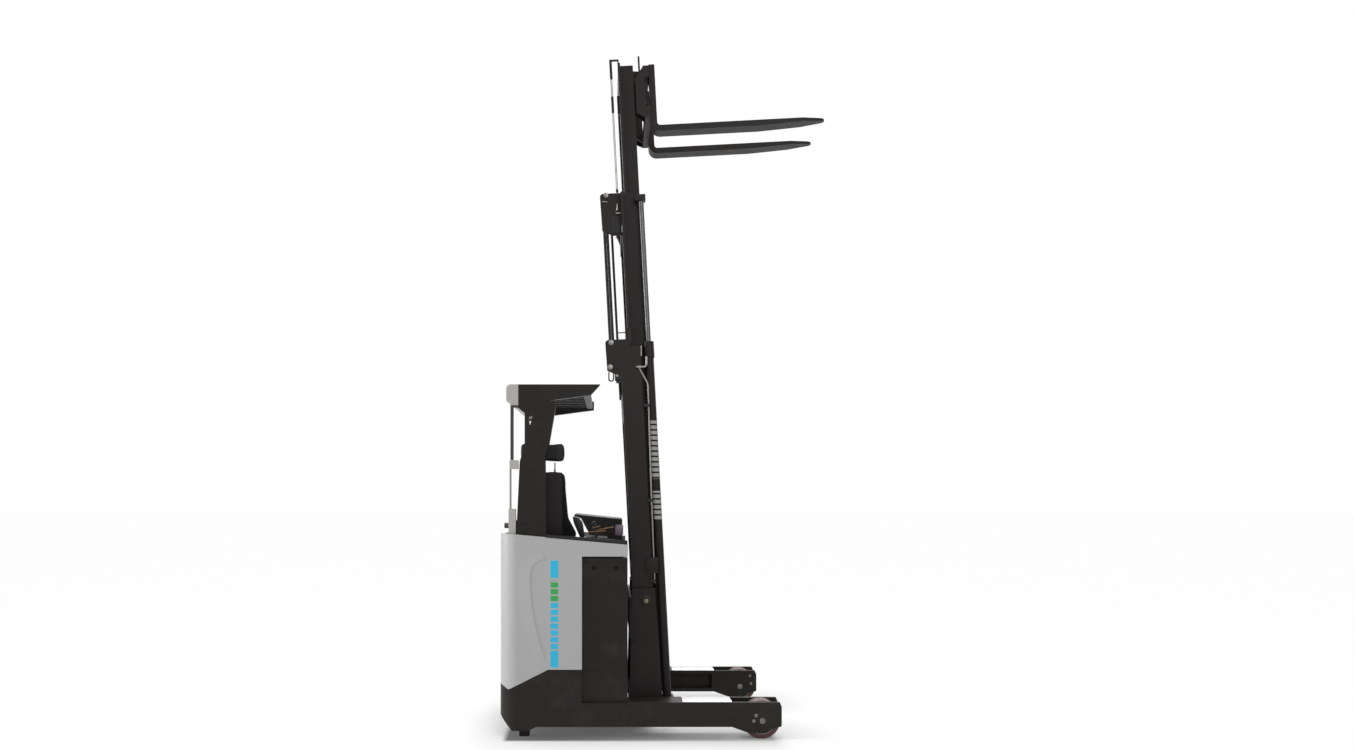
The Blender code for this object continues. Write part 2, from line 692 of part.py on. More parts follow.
def leg(label, sign):
    """Box-section load leg with an open fork for the wheel and a roller channel inside."""
    start = BAY_END + SEAT_GAP
    shoe = [(-0.197, LEG_BOTTOM), (-0.103, LEG_SKIRT_BOTTOM + 0.004), (-0.043, LEG_SKIRT_BOTTOM),
            (0.032, LEG_SKIRT_BOTTOM + 0.012), (0.097, LEG_BOTTOM)]
    side = [(start, LEG_BOTTOM)] + [(LOAD_WHEEL_X + x, z) for x, z in shoe]
    side += [(LEG_REACH - 0.006, LEG_BOTTOM), (LEG_REACH, LEG_BOTTOM + 0.01), (LEG_REACH, LEG_TOP - LEG_NOSE),
             (LEG_REACH - LEG_NOSE * 0.4, LEG_TOP), (start, LEG_TOP)]
    low, high = sorted((sign * LEG_INNER, sign * HALF_WIDTH))
    body = prism(side, "Y", low, high)
    room = LOAD_WHEEL_WIDTH / 2 + WHEEL_ROOM
    middle = sign * LEG_MIDDLE
    pocket = box((LEG_BOX_END, LEG_REACH + 0.1), (middle - room, middle + room), (0.0, LEG_TOP + 0.1))
    bore = cylinder((LOAD_WHEEL_X, sign * (LEG_INNER - 0.1), LOAD_WHEEL_RADIUS),
                    (LOAD_WHEEL_X, sign * (HALF_WIDTH + 0.1), LOAD_WHEEL_RADIUS), LOAD_AXLE_RADIUS + SEAT_GAP)
    finish(cut(body, [pocket, roller_channel(sign), bore]), "leg_" + label, truck, "black")


def tyre_profile(radius, core, half, edge, crown):
    """Section of a bonded tyre as (radius, y), with its tread edges rounded off."""
    return [(core, -half), (radius - edge, -half), (radius, -half + crown), (radius, half - crown),
            (radius - edge, half), (core, half)]


def load_wheel(label, sign):
    """Tyre and dished hub of one load wheel on a fixed axle."""
    place = (LOAD_WHEEL_X, sign * LEG_MIDDLE, LOAD_WHEEL_RADIUS)
    frame = empty("load_wheel_" + label + "_axis", truck, place)
    half = LOAD_WHEEL_WIDTH / 2
    core = LOAD_WHEEL_RADIUS - LOAD_TYRE_WALL
    tyre = turned(tyre_profile(LOAD_WHEEL_RADIUS, core, half, 0.006, 0.008), WHEEL_SIDES)
    finish(smooth(tyre), "load_tyre_" + label, frame, "tyre")
    rim = core - SEAT_GAP
    bore = LOAD_AXLE_RADIUS + BORE_GAP
    dish = half - 0.020
    profile = [(bore, -half), (HUB_BOSS_RADIUS, -half), (HUB_BOSS_RADIUS + 0.004, -dish), (rim - 0.010, -dish),
               (rim - 0.008, -half), (rim, -half), (rim, half), (rim - 0.008, half), (rim - 0.010, dish),
               (bore, dish)]
    hub = turned(profile, WHEEL_SIDES)
    finish(smooth(hub), "load_hub_" + label, frame, "steel")
    axle = cylinder((0.0, -LEG_WIDTH / 2, 0.0), (0.0, LEG_WIDTH / 2, 0.0), LOAD_AXLE_RADIUS)
    finish(smooth(axle), "load_axle_" + label, truck, "steel", place)


def drive_unit():
    """Motor on the deck, steered turret below it and the drive wheel."""
    motor = cylinder((0.0, 0.0, DECK_TOP - DECK_WALL), (0.0, 0.0, MOTOR_TOP), MOTOR_RADIUS, DRIVE_SIDES)
    flange = cylinder((0.0, 0.0, DECK_TOP + SEAT_GAP), (0.0, 0.0, DECK_TOP + 0.025),
                      MOTOR_RADIUS + MOTOR_FLANGE, DRIVE_SIDES)
    finish(smooth(fuse("drive_motor", [motor, flange])), "drive_motor", truck, "black", (DRIVE_X, DRIVE_Y, 0.0))
    half = DRIVE_WHEEL_WIDTH / 2
    plate_bottom = TURRET_TOP - TURRET_WALL
    plate = cylinder((0.0, 0.0, plate_bottom), (0.0, 0.0, TURRET_TOP), TURRET_RADIUS, DRIVE_SIDES)
    outline = arc((0.0, DRIVE_WHEEL_RADIUS), 0.075, 180.0, 360.0, 12)
    outline += [(0.10, plate_bottom + 0.004), (-0.10, plate_bottom + 0.004)]
    cheek = prism(outline, "Y", half + 0.008, half + 0.058)
    stub = cylinder((0.0, -half + 0.040, DRIVE_WHEEL_RADIUS), (0.0, half + 0.020, DRIVE_WHEEL_RADIUS),
                    DRIVE_AXLE_RADIUS)
    finish(fuse("drive_turret", [plate, cheek, stub]), "drive_turret", steer_axis, "black")
    core = DRIVE_WHEEL_RADIUS - DRIVE_TYRE_WALL
    tyre = turned(tyre_profile(DRIVE_WHEEL_RADIUS, core, half, 0.008, 0.010), DRIVE_SIDES)
    finish(smooth(tyre), "drive_tyre", drive_axle, "tyre")
    rim = core - SEAT_GAP
    bore = DRIVE_AXLE_RADIUS + BORE_GAP
    hub = turned([(bore, -half + 0.030), (rim - 0.020, -half + 0.030), (rim - 0.010, -half), (rim, -half),
                  (rim, half), (rim - 0.010, half), (rim - 0.020, half - 0.015), (bore, half - 0.015)],
                 DRIVE_SIDES)
    finish(smooth(hub), "drive_hub", drive_axle, "steel")


def battery():
    """Steel battery case with a lid, a joint line and two lifting eyes at each side."""
    half = BATTERY_WIDTH / 2
    x = (BAY_START + SEAT_GAP * 2, BAY_END - 0.002)
    body = box(x, (-half, half), (BATTERY_BOTTOM + SEAT_GAP, BATTERY_TOP - SINK))
    cuts = []
    for _, sign in SIDES:
        side = sorted((sign * (half - BATTERY_GROOVE / 2), sign * (half + 0.01)))
        for level in (BATTERY_SPLIT, BATTERY_TOP - BATTERY_LID):
            cuts.append(box((x[0] - 0.01, x[1] + 0.01), side, (level - BATTERY_GROOVE, level)))
        for eye_x in (BAY_START + EYE_INSET, BAY_END - EYE_INSET):
            cuts.append(cylinder((eye_x, sign * (half - 0.012), BATTERY_TOP - EYE_DOWN),
                                 (eye_x, sign * (half + 0.01), BATTERY_TOP - EYE_DOWN), EYE_RADIUS, 16))
    finish(cut(body, cuts), "battery", truck, "battery")


def panels():
    """Grey moulded panels: closed right side, rear cover and entry side."""
    top = PANEL_TOP_REAR
    front = BAY_START - SEAT_GAP
    side = skirt_top(SEAT_GAP)[:-1]
    side += [(front, PANEL_RISE_Z + SEAT_GAP), (front, PANEL_WING_BOTTOM), (BAY_END, PANEL_WING_BOTTOM),
             (BAY_END, PANEL_TOP_FRONT), (PANEL_REAR_X + PANEL_EDGE_RUN, top), (-0.01, top)]
    outside = HALF_WIDTH + 0.1

    def shell(start, end):
        wall = prism(rear_plan(SINK, BAY_END), "Z", SKIRT_BOTTOM, top + 0.2)
        hollow = prism(rear_plan(PANEL_WALL, BAY_END + 0.1), "Z", 0.0, top + 0.3)
        wall = cut(wall, [hollow])
        return common(wall, [prism(side, "Y", start, end)])

    finish(shell(-outside, -REAR_COVER_HALF), "panel_right", truck, "grey")
    entry = box((ENTRY_START, BULKHEAD_X), (REAR_COVER_HALF, outside), (ENTRY_SILL_TOP, top + 0.1))
    finish(cut(shell(REAR_COVER_HALF, outside), [entry]), "panel_left", truck, "grey")
    bottom = BUMPER_TOP + SEAT_GAP
    outer = [(0.012, bottom), (0.002, bottom + 0.10), (0.002, bottom + 0.42), (0.022, bottom + 0.58),
             (0.024, top)]
    inner = [(PANEL_WALL, top), (PANEL_WALL, bottom)]
    half = REAR_COVER_HALF - SEAT_GAP * 2
    finish(prism(outer + inner, "Y", -half, half), "rear_cover", truck, "grey")


def console():
    """Console over the battery with a raised hood along its front edge."""
    bottom = BATTERY_TOP + SEAT_GAP
    outline = [(BULKHEAD_X, bottom), (CONSOLE_END, bottom), (CONSOLE_END, CONSOLE_BASE_TOP),
               (BULKHEAD_X, console_top(BULKHEAD_X))]
    base = prism(outline, "Y", -CONSOLE_HALF, CONSOLE_HALF)
    low = HOOD_SIDE
    high = CONSOLE_HALF - HOOD_SIDE
    hood = prism([(HOOD_START, HOOD_TOP_REAR - HOOD_WALL), (CONSOLE_END, HOOD_TOP_FRONT - HOOD_WALL),
                  (CONSOLE_END, HOOD_TOP_FRONT), (HOOD_START, HOOD_TOP_REAR)], "Y", low, high)
    foot = CONSOLE_BASE_TOP - 0.005
    wall = box((CONSOLE_END - HOOD_CHEEK, CONSOLE_END), (low, high), (foot, HOOD_TOP_FRONT - 0.005))
    cheek = [(HOOD_START + 0.14, foot), (CONSOLE_END, foot), (CONSOLE_END, HOOD_TOP_FRONT - 0.005),
             (HOOD_START + 0.04, HOOD_TOP_REAR - 0.014)]
    cheeks = [prism(cheek, "Y", y, y + HOOD_CHEEK) for y in (low, high - HOOD_CHEEK)]
    finish(fuse("console", [base, hood, wall] + cheeks), "console", truck, "plastic")


def controls():
    """Control levers on the console, handwheel on its pod."""
    rear, front = LEVER_BLOCK
    top = CONSOLE_BASE_TOP + LEVER_BLOCK_RISE
    outline = [(x, console_top(x) + SEAT_GAP) for x in LEVER_BLOCK]
    block = prism(outline + [(front, top - 0.005), (rear, top + 0.005)], "Y", *LEVER_BLOCK_Y)
    middle = (rear + front) / 2
    knob = CONSOLE_BASE_TOP + LEVER_HEIGHT
    levers = []
    for y in LEVER_YS:
        levers.append(cylinder((middle, y, top - 0.010), (middle - 0.020, y, knob - 0.025), 0.007, 8))
        levers.append(cylinder((middle - 0.016, y, knob - 0.040), (middle - 0.024, y, knob), 0.013, 12))
    finish(fuse("control_levers", [block] + levers), "control_levers", truck, "plastic")
    ring = turned(arc((WHEEL_RIM, 0.0), 0.012, 0.0, 300.0, 5), 24)
    ring.data.transform(Matrix.Rotation(math.radians(90.0), 4, "X"))
    spoke = box((-WHEEL_RIM + 0.005, WHEEL_RIM - 0.005), (-0.014, 0.014), (-0.007, 0.007))
    hub = cylinder((0.0, 0.0, -0.03), (0.0, 0.0, 0.012), 0.032, 20)
    stem = cylinder((0.0, 0.0, POD_TOP + SEAT_GAP - WHEEL_Z), (0.0, 0.0, -0.02), 0.022, 16)
    wheel = fuse("steering_wheel", [hub, ring, spoke, stem])
    finish(smooth(wheel), "steering_wheel", truck, "plastic", (WHEEL_X, POD_START_Y + POD_WIDTH / 2, WHEEL_Z))
    foot = DECK_TOP + FLOOR_WALL + SEAT_GAP
    back = PANEL_WALL + SEAT_GAP + FIT_GAP
    outline = [(back, foot), (POD_FRONT_X - 0.045, foot), (POD_FRONT_X, POD_TOP - 0.16)]
    outline += arc((POD_FRONT_X - 0.03, POD_TOP - 0.03), 0.03, 0.0, 90.0, 4) + [(back, POD_TOP)]
    pod = prism(outline, "Y", POD_START_Y, POD_START_Y + POD_WIDTH)
    finish(pod, "steering_pod", truck, "plastic")


def floor():
    """Floor plate with three pedals on the operator's side."""
    plate = bay(PANEL_WALL + FIT_GAP, BULKHEAD_X - FIT_GAP, (FLOOR_START_Y, HALF_WIDTH),
                DECK_TOP + SEAT_GAP, DECK_TOP + FLOOR_WALL)
    near = POD_START_Y + POD_WIDTH + PEDAL_GAP
    far = near + PEDAL_LENGTH
    foot = DECK_TOP + FLOOR_WALL - 0.002
    wedge = [(near, foot), (far, foot), (far, foot + 0.045), (near, foot + 0.010)]
    pedals = [prism(wedge, "X", x, x + width) for x, width in PEDALS]
    finish(fuse("floor_plate", [plate] + pedals), "floor_plate", truck, "rubber")


def seat():
    """Seat box over the motor, seat frame, cushion, flared backrest and headrest."""
    front = BULKHEAD_X - FIT_GAP
    shell = bay(PANEL_WALL + FIT_GAP, front, (-HALF_WIDTH, SEAT_BOX_FRONT_Y), DECK_TOP + SEAT_GAP, SEAT_BOX_TOP)
    hollow = bay(PANEL_WALL + FIT_GAP + SEAT_BOX_WALL, front - SEAT_BOX_WALL,
                 (-HALF_WIDTH, SEAT_BOX_FRONT_Y - SEAT_BOX_WALL), DECK_TOP - 0.1, SEAT_BOX_TOP - SEAT_BOX_WALL)
    finish(cut(shell, [hollow]), "seat_box", truck, "plastic")
    half = SEAT_WIDTH / 2
    pan = box((-half + 0.02, half - 0.02), (CUSHION_BACK_Y - 0.10, CUSHION_FRONT_Y - 0.02),
              (SEAT_BOX_TOP + SEAT_GAP, CUSHION_BOTTOM - SEAT_GAP))
    rise = BACK_TOP - CUSHION_BOTTOM
    lean = math.tan(BACK_LEAN)
    back_y = CUSHION_BACK_Y - BACK_THICK - BACK_SETBACK
    foot = CUSHION_BOTTOM - 0.02
    top = BACK_TOP - 0.02
    stay = prism([(back_y - STAY_WALL, foot), (back_y - SEAT_GAP, foot), (back_y - SEAT_GAP - rise * lean, top),
                  (back_y - STAY_WALL - rise * lean, top)], "X", -STAY_HALF, STAY_HALF)
    posts = []
    post_top = HEADREST_BOTTOM - SEAT_GAP - POST_RADIUS * lean
    for x in (-POST_X, POST_X):
        ends = []
        for z in (BACK_TOP - 0.10, post_top):
            ends.append((x, back_y - (z - CUSHION_BOTTOM) * lean - POST_SETBACK, z))
        posts.append(cylinder(ends[0], ends[1], POST_RADIUS, 12))
    finish(fuse("seat_frame", [pan, stay] + posts), "seat_frame", truck, "steel", (SEAT_X, 0.0, 0.0))
    plan = round_box((-half, half), (CUSHION_BACK_Y, CUSHION_FRONT_Y), CUSHION_ROUND)
    cushion = prism(plan, "Z", CUSHION_BOTTOM, CUSHION_BOTTOM + CUSHION_THICK)
    finish(cushion, "seat_cushion", truck, "fabric", (SEAT_X, 0.0, 0.0))
    low = CUSHION_BOTTOM
    right = [(half, low), (half, low + BACK_HIP), (BACK_FLARE_HALF, low + BACK_FLARE - 0.02),
             (BACK_FLARE_HALF, low + BACK_FLARE), (BACK_SHOULDER_HALF, low + BACK_SHOULDER)]
    right += arc((BACK_TOP_HALF - BACK_ROUND, BACK_TOP - BACK_ROUND), BACK_ROUND, 0.0, 90.0, 4)
    back = prism(right + [(-x, z) for x, z in reversed(right)], "Y", back_y, back_y + BACK_THICK)
    for vert in back.data.vertices:
        vert.co.y -= (vert.co.z - low) * lean
    finish(back, "seat_back", truck, "fabric", (SEAT_X, 0.0, 0.0))
    y = back_y - rise * lean - 0.018
    outline = round_box((-HEADREST_HALF, HEADREST_HALF), (HEADREST_BOTTOM, HEADREST_TOP), HEADREST_ROUND)
    finish(prism(outline, "Y", y, y + HEADREST_THICK), "headrest", truck, "fabric", (SEAT_X, 0.0, 0.0))


def rear_frame(level):
    """Pieces of the guard's rear frame: head, posts with clamps, foot blocks and knobs."""
    foot = PANEL_TOP_REAR + SEAT_GAP
    centre = (CORNER_BLOCK_X + CORNER_BLOCK_ROUND, GUARD_TOP - CORNER_BLOCK_ROUND)
    head = arc(centre, CORNER_BLOCK_ROUND, 90.0, 180.0, 5)
    head += [(CORNER_BLOCK_X, level), (GUARD_REAR_X - SEAT_GAP, level), (GUARD_REAR_X - SEAT_GAP, GUARD_TOP)]
    pieces = [prism(head, "Y", -GUARD_Y, GUARD_Y)]
    post_end = REAR_POST_X + REAR_POST_SIZE
    block_end = LOWER_BLOCK_X + LOWER_BLOCK_LENGTH
    for _, sign in SIDES:
        side = sorted((sign * (GUARD_Y - REAR_POST_SIZE), sign * GUARD_Y))
        deep = sorted((sign * (GUARD_Y - REAR_POST_SIZE * 2), sign * (GUARD_Y - SINK)))
        rod = sorted((sign * (GUARD_Y - REAR_ROD_SIZE - 0.004), sign * (GUARD_Y - 0.004)))
        pieces.append(box((REAR_POST_X, post_end), side, (CLAMP_HIGH - 0.005, level + 0.005)))
        bracket = [(post_end - 0.005, level + 0.005), (post_end - 0.005, level - 0.042),
                   (GUARD_REAR_X - SEAT_GAP * 2, level - 0.044), (GUARD_REAR_X - SEAT_GAP * 2, level + 0.005)]
        pieces.append(prism(bracket, "Y", side[0] + SINK, side[1] - SINK))
        pieces.append(box((CLAMP_X, PILLAR_WAIST_X - 0.010), deep, (CLAMP_LOW, CLAMP_HIGH)))
        pieces.append(box((REAR_POST_X - 0.006, REAR_POST_X - 0.006 + REAR_ROD_SIZE), rod,
                          (LOWER_BLOCK_TOP - 0.005, CLAMP_LOW + 0.005)))
        pieces.append(box((LOWER_BLOCK_X, block_end), deep, (foot, LOWER_BLOCK_TOP)))
        middle = sign * (GUARD_Y - REAR_POST_SIZE)
        pieces.append(cylinder((LOWER_BLOCK_X - 0.028, middle, KNOB_Z), (LOWER_BLOCK_X + 0.005, middle, KNOB_Z),
                               KNOB_RADIUS, 10))
    return pieces


def guard():
    """Overhead guard: wide right pillar, barred roof and slender rear frame."""
    rear_bottom = GUARD_TOP - GUARD_BEAM_REAR_DEPTH
    front_bottom = GUARD_TOP - GUARD_BEAM_FRONT_DEPTH
    beam = [(GUARD_REAR_X, rear_bottom), (GUARD_HEAD_X, rear_bottom), (GUARD_FRONT_X, front_bottom)]
    rear_top = (GUARD_REAR_X, GUARD_TOP)
    right = prism(beam + [(GUARD_HORN_X, GUARD_TOP), rear_top], "Y", -GUARD_Y, -GUARD_IN)
    left = prism(beam + [(GUARD_FRONT_X, GUARD_TOP - 0.004), rear_top], "Y", GUARD_IN, GUARD_Y)
    bar_top = GUARD_TOP - GUARD_BAR_DOWN
    levels = (bar_top - GUARD_BAR_DEPTH, bar_top)
    across = (-GUARD_IN - 0.01, GUARD_IN + 0.01)
    pieces = [right, left, box((GUARD_REAR_X + SINK, GUARD_REAR_X + GUARD_CROSS_WIDTH), across, levels),
              box((GUARD_FRONT_X - GUARD_CROSS_WIDTH - 0.01, GUARD_FRONT_X - 0.01), across, levels)]
    pitch = 2 * GUARD_IN / (GUARD_BAR_COUNT + 1)
    for number in range(GUARD_BAR_COUNT):
        y = -GUARD_IN + pitch * (number + 1) - GUARD_BAR_WIDTH / 2
        pieces.append(box((GUARD_REAR_X + 0.02, GUARD_FRONT_X - 0.02), (y, y + GUARD_BAR_WIDTH),
                          (levels[0] + 0.005, levels[1] - 0.003)))
    finish(fuse("guard_roof", pieces), "guard_roof", truck, "black")
    under = rear_bottom - SEAT_GAP
    outline = [(PILLAR_FOOT_REAR_X, panel_top(PILLAR_FOOT_REAR_X) + SEAT_GAP),
               (PILLAR_FOOT_FRONT_X, panel_top(PILLAR_FOOT_FRONT_X) + SEAT_GAP),
               (PILLAR_FOOT_FRONT_X - 0.006, PILLAR_BEND_Z), (PILLAR_BREAST_X, PILLAR_NECK_Z),
               (PILLAR_HEAD_FRONT_X, rear_bottom - 0.040), (PILLAR_HEAD_FRONT_X - 0.006, under),
               (GUARD_REAR_X, under), (GUARD_REAR_X, rear_bottom - 0.045),
               (PILLAR_NECK_X, rear_bottom - NECK_SLOPE), (PILLAR_NECK_X, PILLAR_NECK_Z),
               (PILLAR_WAIST_X, PILLAR_WAIST_Z)]
    pillar = prism(outline, "Y", -GUARD_Y, -GUARD_IN)
    hole = prism([(x, rear_bottom - down) for x, down in NECK_HOLE], "Y", -GUARD_Y - 0.1, 0.0)
    finish(cut(pillar, [hole]), "guard_pillar", truck, "black")
    finish(fuse("guard_rear_frame", rear_frame(rear_bottom)), "guard_rear_frame", truck, "grey")


def rail(half, rear, depth, out, inward):
    """Outline of a left mast rail as (x, y): a web whose rear flange may reach out of it."""
    front = rear + depth
    tip = half - RAIL_WEB - inward
    outline = [(rear, tip), (rear, half + out), (rear + RAIL_FLANGE, half + out), (rear + RAIL_FLANGE, half),
               (front, half), (front, tip), (front - RAIL_FLANGE, tip), (front - RAIL_FLANGE, half - RAIL_WEB),
               (rear + RAIL_FLANGE, half - RAIL_WEB), (rear + RAIL_FLANGE, tip)]
    if out == 0.0:
        outline[1:4] = [(rear, half)]
    return outline


def both_sides(outline, low, high):
    """Left and right uprights from one outline of (x, y)."""
    return [prism([(x, sign * y) for x, y in outline], "Z", low, high) for _, sign in SIDES]


def cross_plates(x, half, levels):
    """Cross plates between the rails at (low, high) levels."""
    return [box((x, x + CROSS_WALL), (-half, half), level) for level in levels]


def stage_rollers(x, half, reach_out, level, radius):
    """Bottom rollers that stand out of a stage's webs into the next rails."""
    pieces = []
    for _, sign in SIDES:
        inside = (x, sign * (half - RAIL_WEB / 2), level)
        pieces.append(cylinder(inside, (x, sign * (half + reach_out), level), radius))
    return pieces


def guide_outline(front, rear, low, high):
    """Outline of a hose guide plate: round rear head, its lower rear corner cut away."""
    head = arc((rear + 0.022, high - 0.022), 0.022, 180.0, 90.0, 4)
    return [(front, low), (rear + 0.075, low), (rear + 0.004, low + 0.035)] + head + [(front, high)]


def outer_mast():
    """Outer stage: channels open inwards, cross plates behind, foot plates and a hose guide."""
    outline = rail(OUTER_HALF, OUTER_REAR, OUTER_DEPTH, 0.0, OUTER_FLANGE)
    foot = MAST_FOOT - STAGE_LIFT
    sole = foot - FOOT_PLATE
    pieces = both_sides(outline, foot - SINK, OUTER_TOP)
    toe = TILT_PIN_LX + 0.022
    lug = [(TILT_PIN_LX - LUG_HALF, TILT_PIN_LZ), (TILT_PIN_LX - LUG_HALF * 0.7, TILT_PIN_LZ - LUG_HALF * 0.7),
           (TILT_PIN_LX, TILT_PIN_LZ - LUG_HALF), (TILT_PIN_LX + LUG_HALF * 0.7, TILT_PIN_LZ - LUG_HALF * 0.7),
           (TILT_PIN_LX + LUG_HALF, TILT_PIN_LZ), (toe, foot - 0.002),
           (TILT_PIN_LX - LUG_HALF - 0.002, foot - 0.002)]
    tip = OUTER_HALF - RAIL_WEB - OUTER_FLANGE + SINK
    ledge = OUTER_REAR + OUTER_DEPTH + RUN_GAP
    inside = OUTER_HALF - FOOT_PLATE_WIDTH
    plan = [(OUTER_REAR, tip), (OUTER_REAR, OUTER_HALF), (toe, OUTER_HALF), (toe, inside), (ledge, inside), (ledge, tip)]
    pieces += both_sides(plan, sole, foot)
    for _, sign in SIDES:
        for y in (TILT_Y - TILT_EYE_HALF - LUG_GAP - LUG_WALL, TILT_Y + TILT_EYE_HALF + LUG_GAP):
            pieces.append(prism(lug, "Y", *sorted((sign * y, sign * (y + LUG_WALL)))))
    levels = ((foot, MAST_FOOT + PLATE_HEIGHT), (0.10, 0.22), (1.22, 1.42))
    pieces += cross_plates(OUTER_REAR + SINK, OUTER_HALF - RAIL_WEB / 2, levels)
    guide = guide_outline(OUTER_REAR + 0.060, OUTER_REAR - 0.098, OUTER_TOP - 0.190, OUTER_TOP + 0.050)
    pieces.append(prism(guide, "Y", -OUTER_HALF, -OUTER_HALF + GUIDE_WALL))
    drum = (OUTER_REAR - 0.045, OUTER_TOP - 0.060)
    pieces.append(cylinder((drum[0], -OUTER_HALF + SINK, drum[1]),
                           (drum[0], -OUTER_HALF + OUTER_DRUM_LENGTH, drum[1]), OUTER_DRUM_RADIUS, 20))
    body = fuse("outer_mast", pieces)
    hole = cylinder((0.0, -HALF_WIDTH, 0.0), (0.0, HALF_WIDTH, 0.0), PIVOT_RADIUS + BORE_GAP)
    eye = cylinder((TILT_PIN_LX, -HALF_WIDTH, TILT_PIN_LZ), (TILT_PIN_LX, HALF_WIDTH, TILT_PIN_LZ),
                   TILT_SHAFT_RADIUS + TILT_DRIFT)
    finish(cut(body, [hole, eye]), "outer_mast", mast, "black")


def chain_loop(y):
    """Stage chain over its pulley: rear run down to the outer stage, front run to the inner."""
    centre = CHAIN_X
    outer = CHAIN_PULLEY_RADIUS
    inner = outer - CHAIN_THICK
    top = CHAIN_PULLEY_LEVEL
    half = CHAIN_WIDTH / 2
    outline = arc((centre, top), outer, 0.0, 180.0, 12)
    outline += [(centre - outer, CHAIN_REAR_END), (centre - inner, CHAIN_REAR_END)]
    outline += arc((centre, top), inner, 180.0, 0.0, 12)
    outline += [(centre + inner, CHAIN_FRONT_END), (centre + outer, CHAIN_FRONT_END)]
    band = prism(outline, "Y", y - half, y + half)
    pulley = cylinder((centre, y - half - 0.005, top), (centre, y + half + 0.005, top), inner + SINK, 20)
    cheek = [(MID_REAR, top - 0.12), (MID_REAR, top - 0.03), (centre + 0.012, top + 0.012),
             (centre - 0.012, top + 0.012), (centre - 0.012, top - 0.03), (MID_REAR - 0.006, top - 0.12)]
    cheeks = []
    for side in (-1.0, 1.0):
        low, high = sorted((y + side * (half + 0.004), y + side * (half + 0.012)))
        cheeks.append(prism(cheek, "Y", low, high))
    return [pulley, band] + cheeks


def mid_mast():
    """Middle stage with bottom rollers, stage chains, rod clamps and a hose guide."""
    outline = rail(MID_HALF, MID_REAR, MID_DEPTH, MID_OUT, MID_FLANGE)
    pieces = both_sides(outline, MAST_FOOT, MID_TOP)
    levels = ((MAST_FOOT + 0.02, MAST_FOOT + PLATE_HEIGHT), (MID_PLATE_TOP - 0.120, MID_PLATE_TOP))
    pieces += cross_plates(MID_REAR - CROSS_WALL / 2, MID_HALF - RAIL_WEB / 2, levels)
    radius = (OUTER_DEPTH - 2 * RAIL_FLANGE) / 2 - 0.005
    x = OUTER_REAR + RAIL_FLANGE + radius + TURN_GAP
    pieces += stage_rollers(x, MID_HALF, MID_OUT - 0.003, MAST_FOOT + STAGE_ROLLER_UP, radius)
    reach_out = LIFT_ROD_RADIUS + ROD_CLAMP_WALL
    for _, sign in SIDES:
        pieces.append(box((MID_REAR + MID_DEPTH - 0.020, LIFT_X + reach_out),
                          sorted((sign * (MID_HALF - RAIL_WEB / 2), sign * (LIFT_Y + reach_out))),
                          (LIFT_ROD_TOP - ROD_CLAMP_HEIGHT, LIFT_ROD_TOP - 0.002)))
        pieces += chain_loop(sign * CHAIN_Y)
    guide = guide_outline(MID_REAR + 0.030, MID_REAR - 0.138, MID_TOP - 0.280, MID_TOP + 0.006)
    pieces.append(prism(guide, "Y", -MID_HALF, -MID_HALF + GUIDE_WALL))
    drum = (MID_REAR - DRUM_SETBACK, MID_TOP - DRUM_DOWN)
    drum_end = HOSE_Y + HOSE_RADIUS + SINK
    pieces.append(cylinder((drum[0], -MID_HALF + SINK, drum[1]), (drum[0], drum_end, drum[1]), DRUM_RADIUS))
    body = fuse("mid_mast", pieces)
    holes = []
    for _, sign in SIDES:
        y = sign * LIFT_Y
        holes.append(cylinder((LIFT_X, y, LIFT_ROD_TOP - 0.1), (LIFT_X, y, LIFT_ROD_TOP + 0.1),
                              LIFT_ROD_RADIUS + SEAT_GAP))
    finish(cut(body, holes), "mid_mast", mid_stage, "black")


def mast_hoses():
    """Two hoses that hang from the middle stage's drum, held by a clamp near each end."""
    centre = (MID_REAR - DRUM_SETBACK, MID_TOP - DRUM_DOWN)
    pieces = []
    inner = DRUM_RADIUS + HOSE_PLAY + HOSE_RADIUS
    for radius in (inner, inner + HOSE_PITCH):
        path = [(centre[0] + radius, MID_PLATE_TOP + SEAT_GAP)]
        path += arc(centre, radius, 0.0, 180.0, 8) + [(centre[0] - radius, HOSE_END)]
        pieces.append(tube(path, HOSE_Y, HOSE_RADIUS))
    ends = (centre[0] - inner - HOSE_PITCH - HOSE_RADIUS + 0.003, centre[0] - inner + HOSE_RADIUS - 0.003)
    grip = (HOSE_Y - HOSE_RADIUS - 0.003, HOSE_Y + HOSE_RADIUS + 0.003)
    for level in (HOSE_END + 0.010, MID_TOP - 0.300):
        pieces.append(box(ends, grip, (level, level + HOSE_CLAMP)))
    finish(smooth(fuse("mast_hoses", pieces)), "mast_hoses", mid_stage, "rubber")


def inner_mast():
    """Inner stage with bottom rollers and the hoses that follow the fork carriage."""
    outline = rail(INNER_HALF, INNER_REAR, INNER_DEPTH, INNER_OUT, INNER_FLANGE)
    pieces = both_sides(outline, MAST_FOOT, INNER_TOP)
    levels = ((MAST_FOOT + 0.001, MAST_FOOT + 0.15), (INNER_TOP - 0.12, INNER_TOP - 0.001))
    pieces += cross_plates(INNER_REAR + 0.001, INNER_HALF - RAIL_WEB / 2, levels)
    radius = (MID_DEPTH - 2 * RAIL_FLANGE) / 2 - 0.003
    x = MID_REAR + RAIL_FLANGE + radius + TURN_GAP
    pieces += stage_rollers(x, INNER_HALF, INNER_OUT - 0.003, MAST_FOOT + STAGE_ROLLER_UP, radius)
    finish(fuse("inner_mast", pieces), "inner_mast", inner_stage, "black")


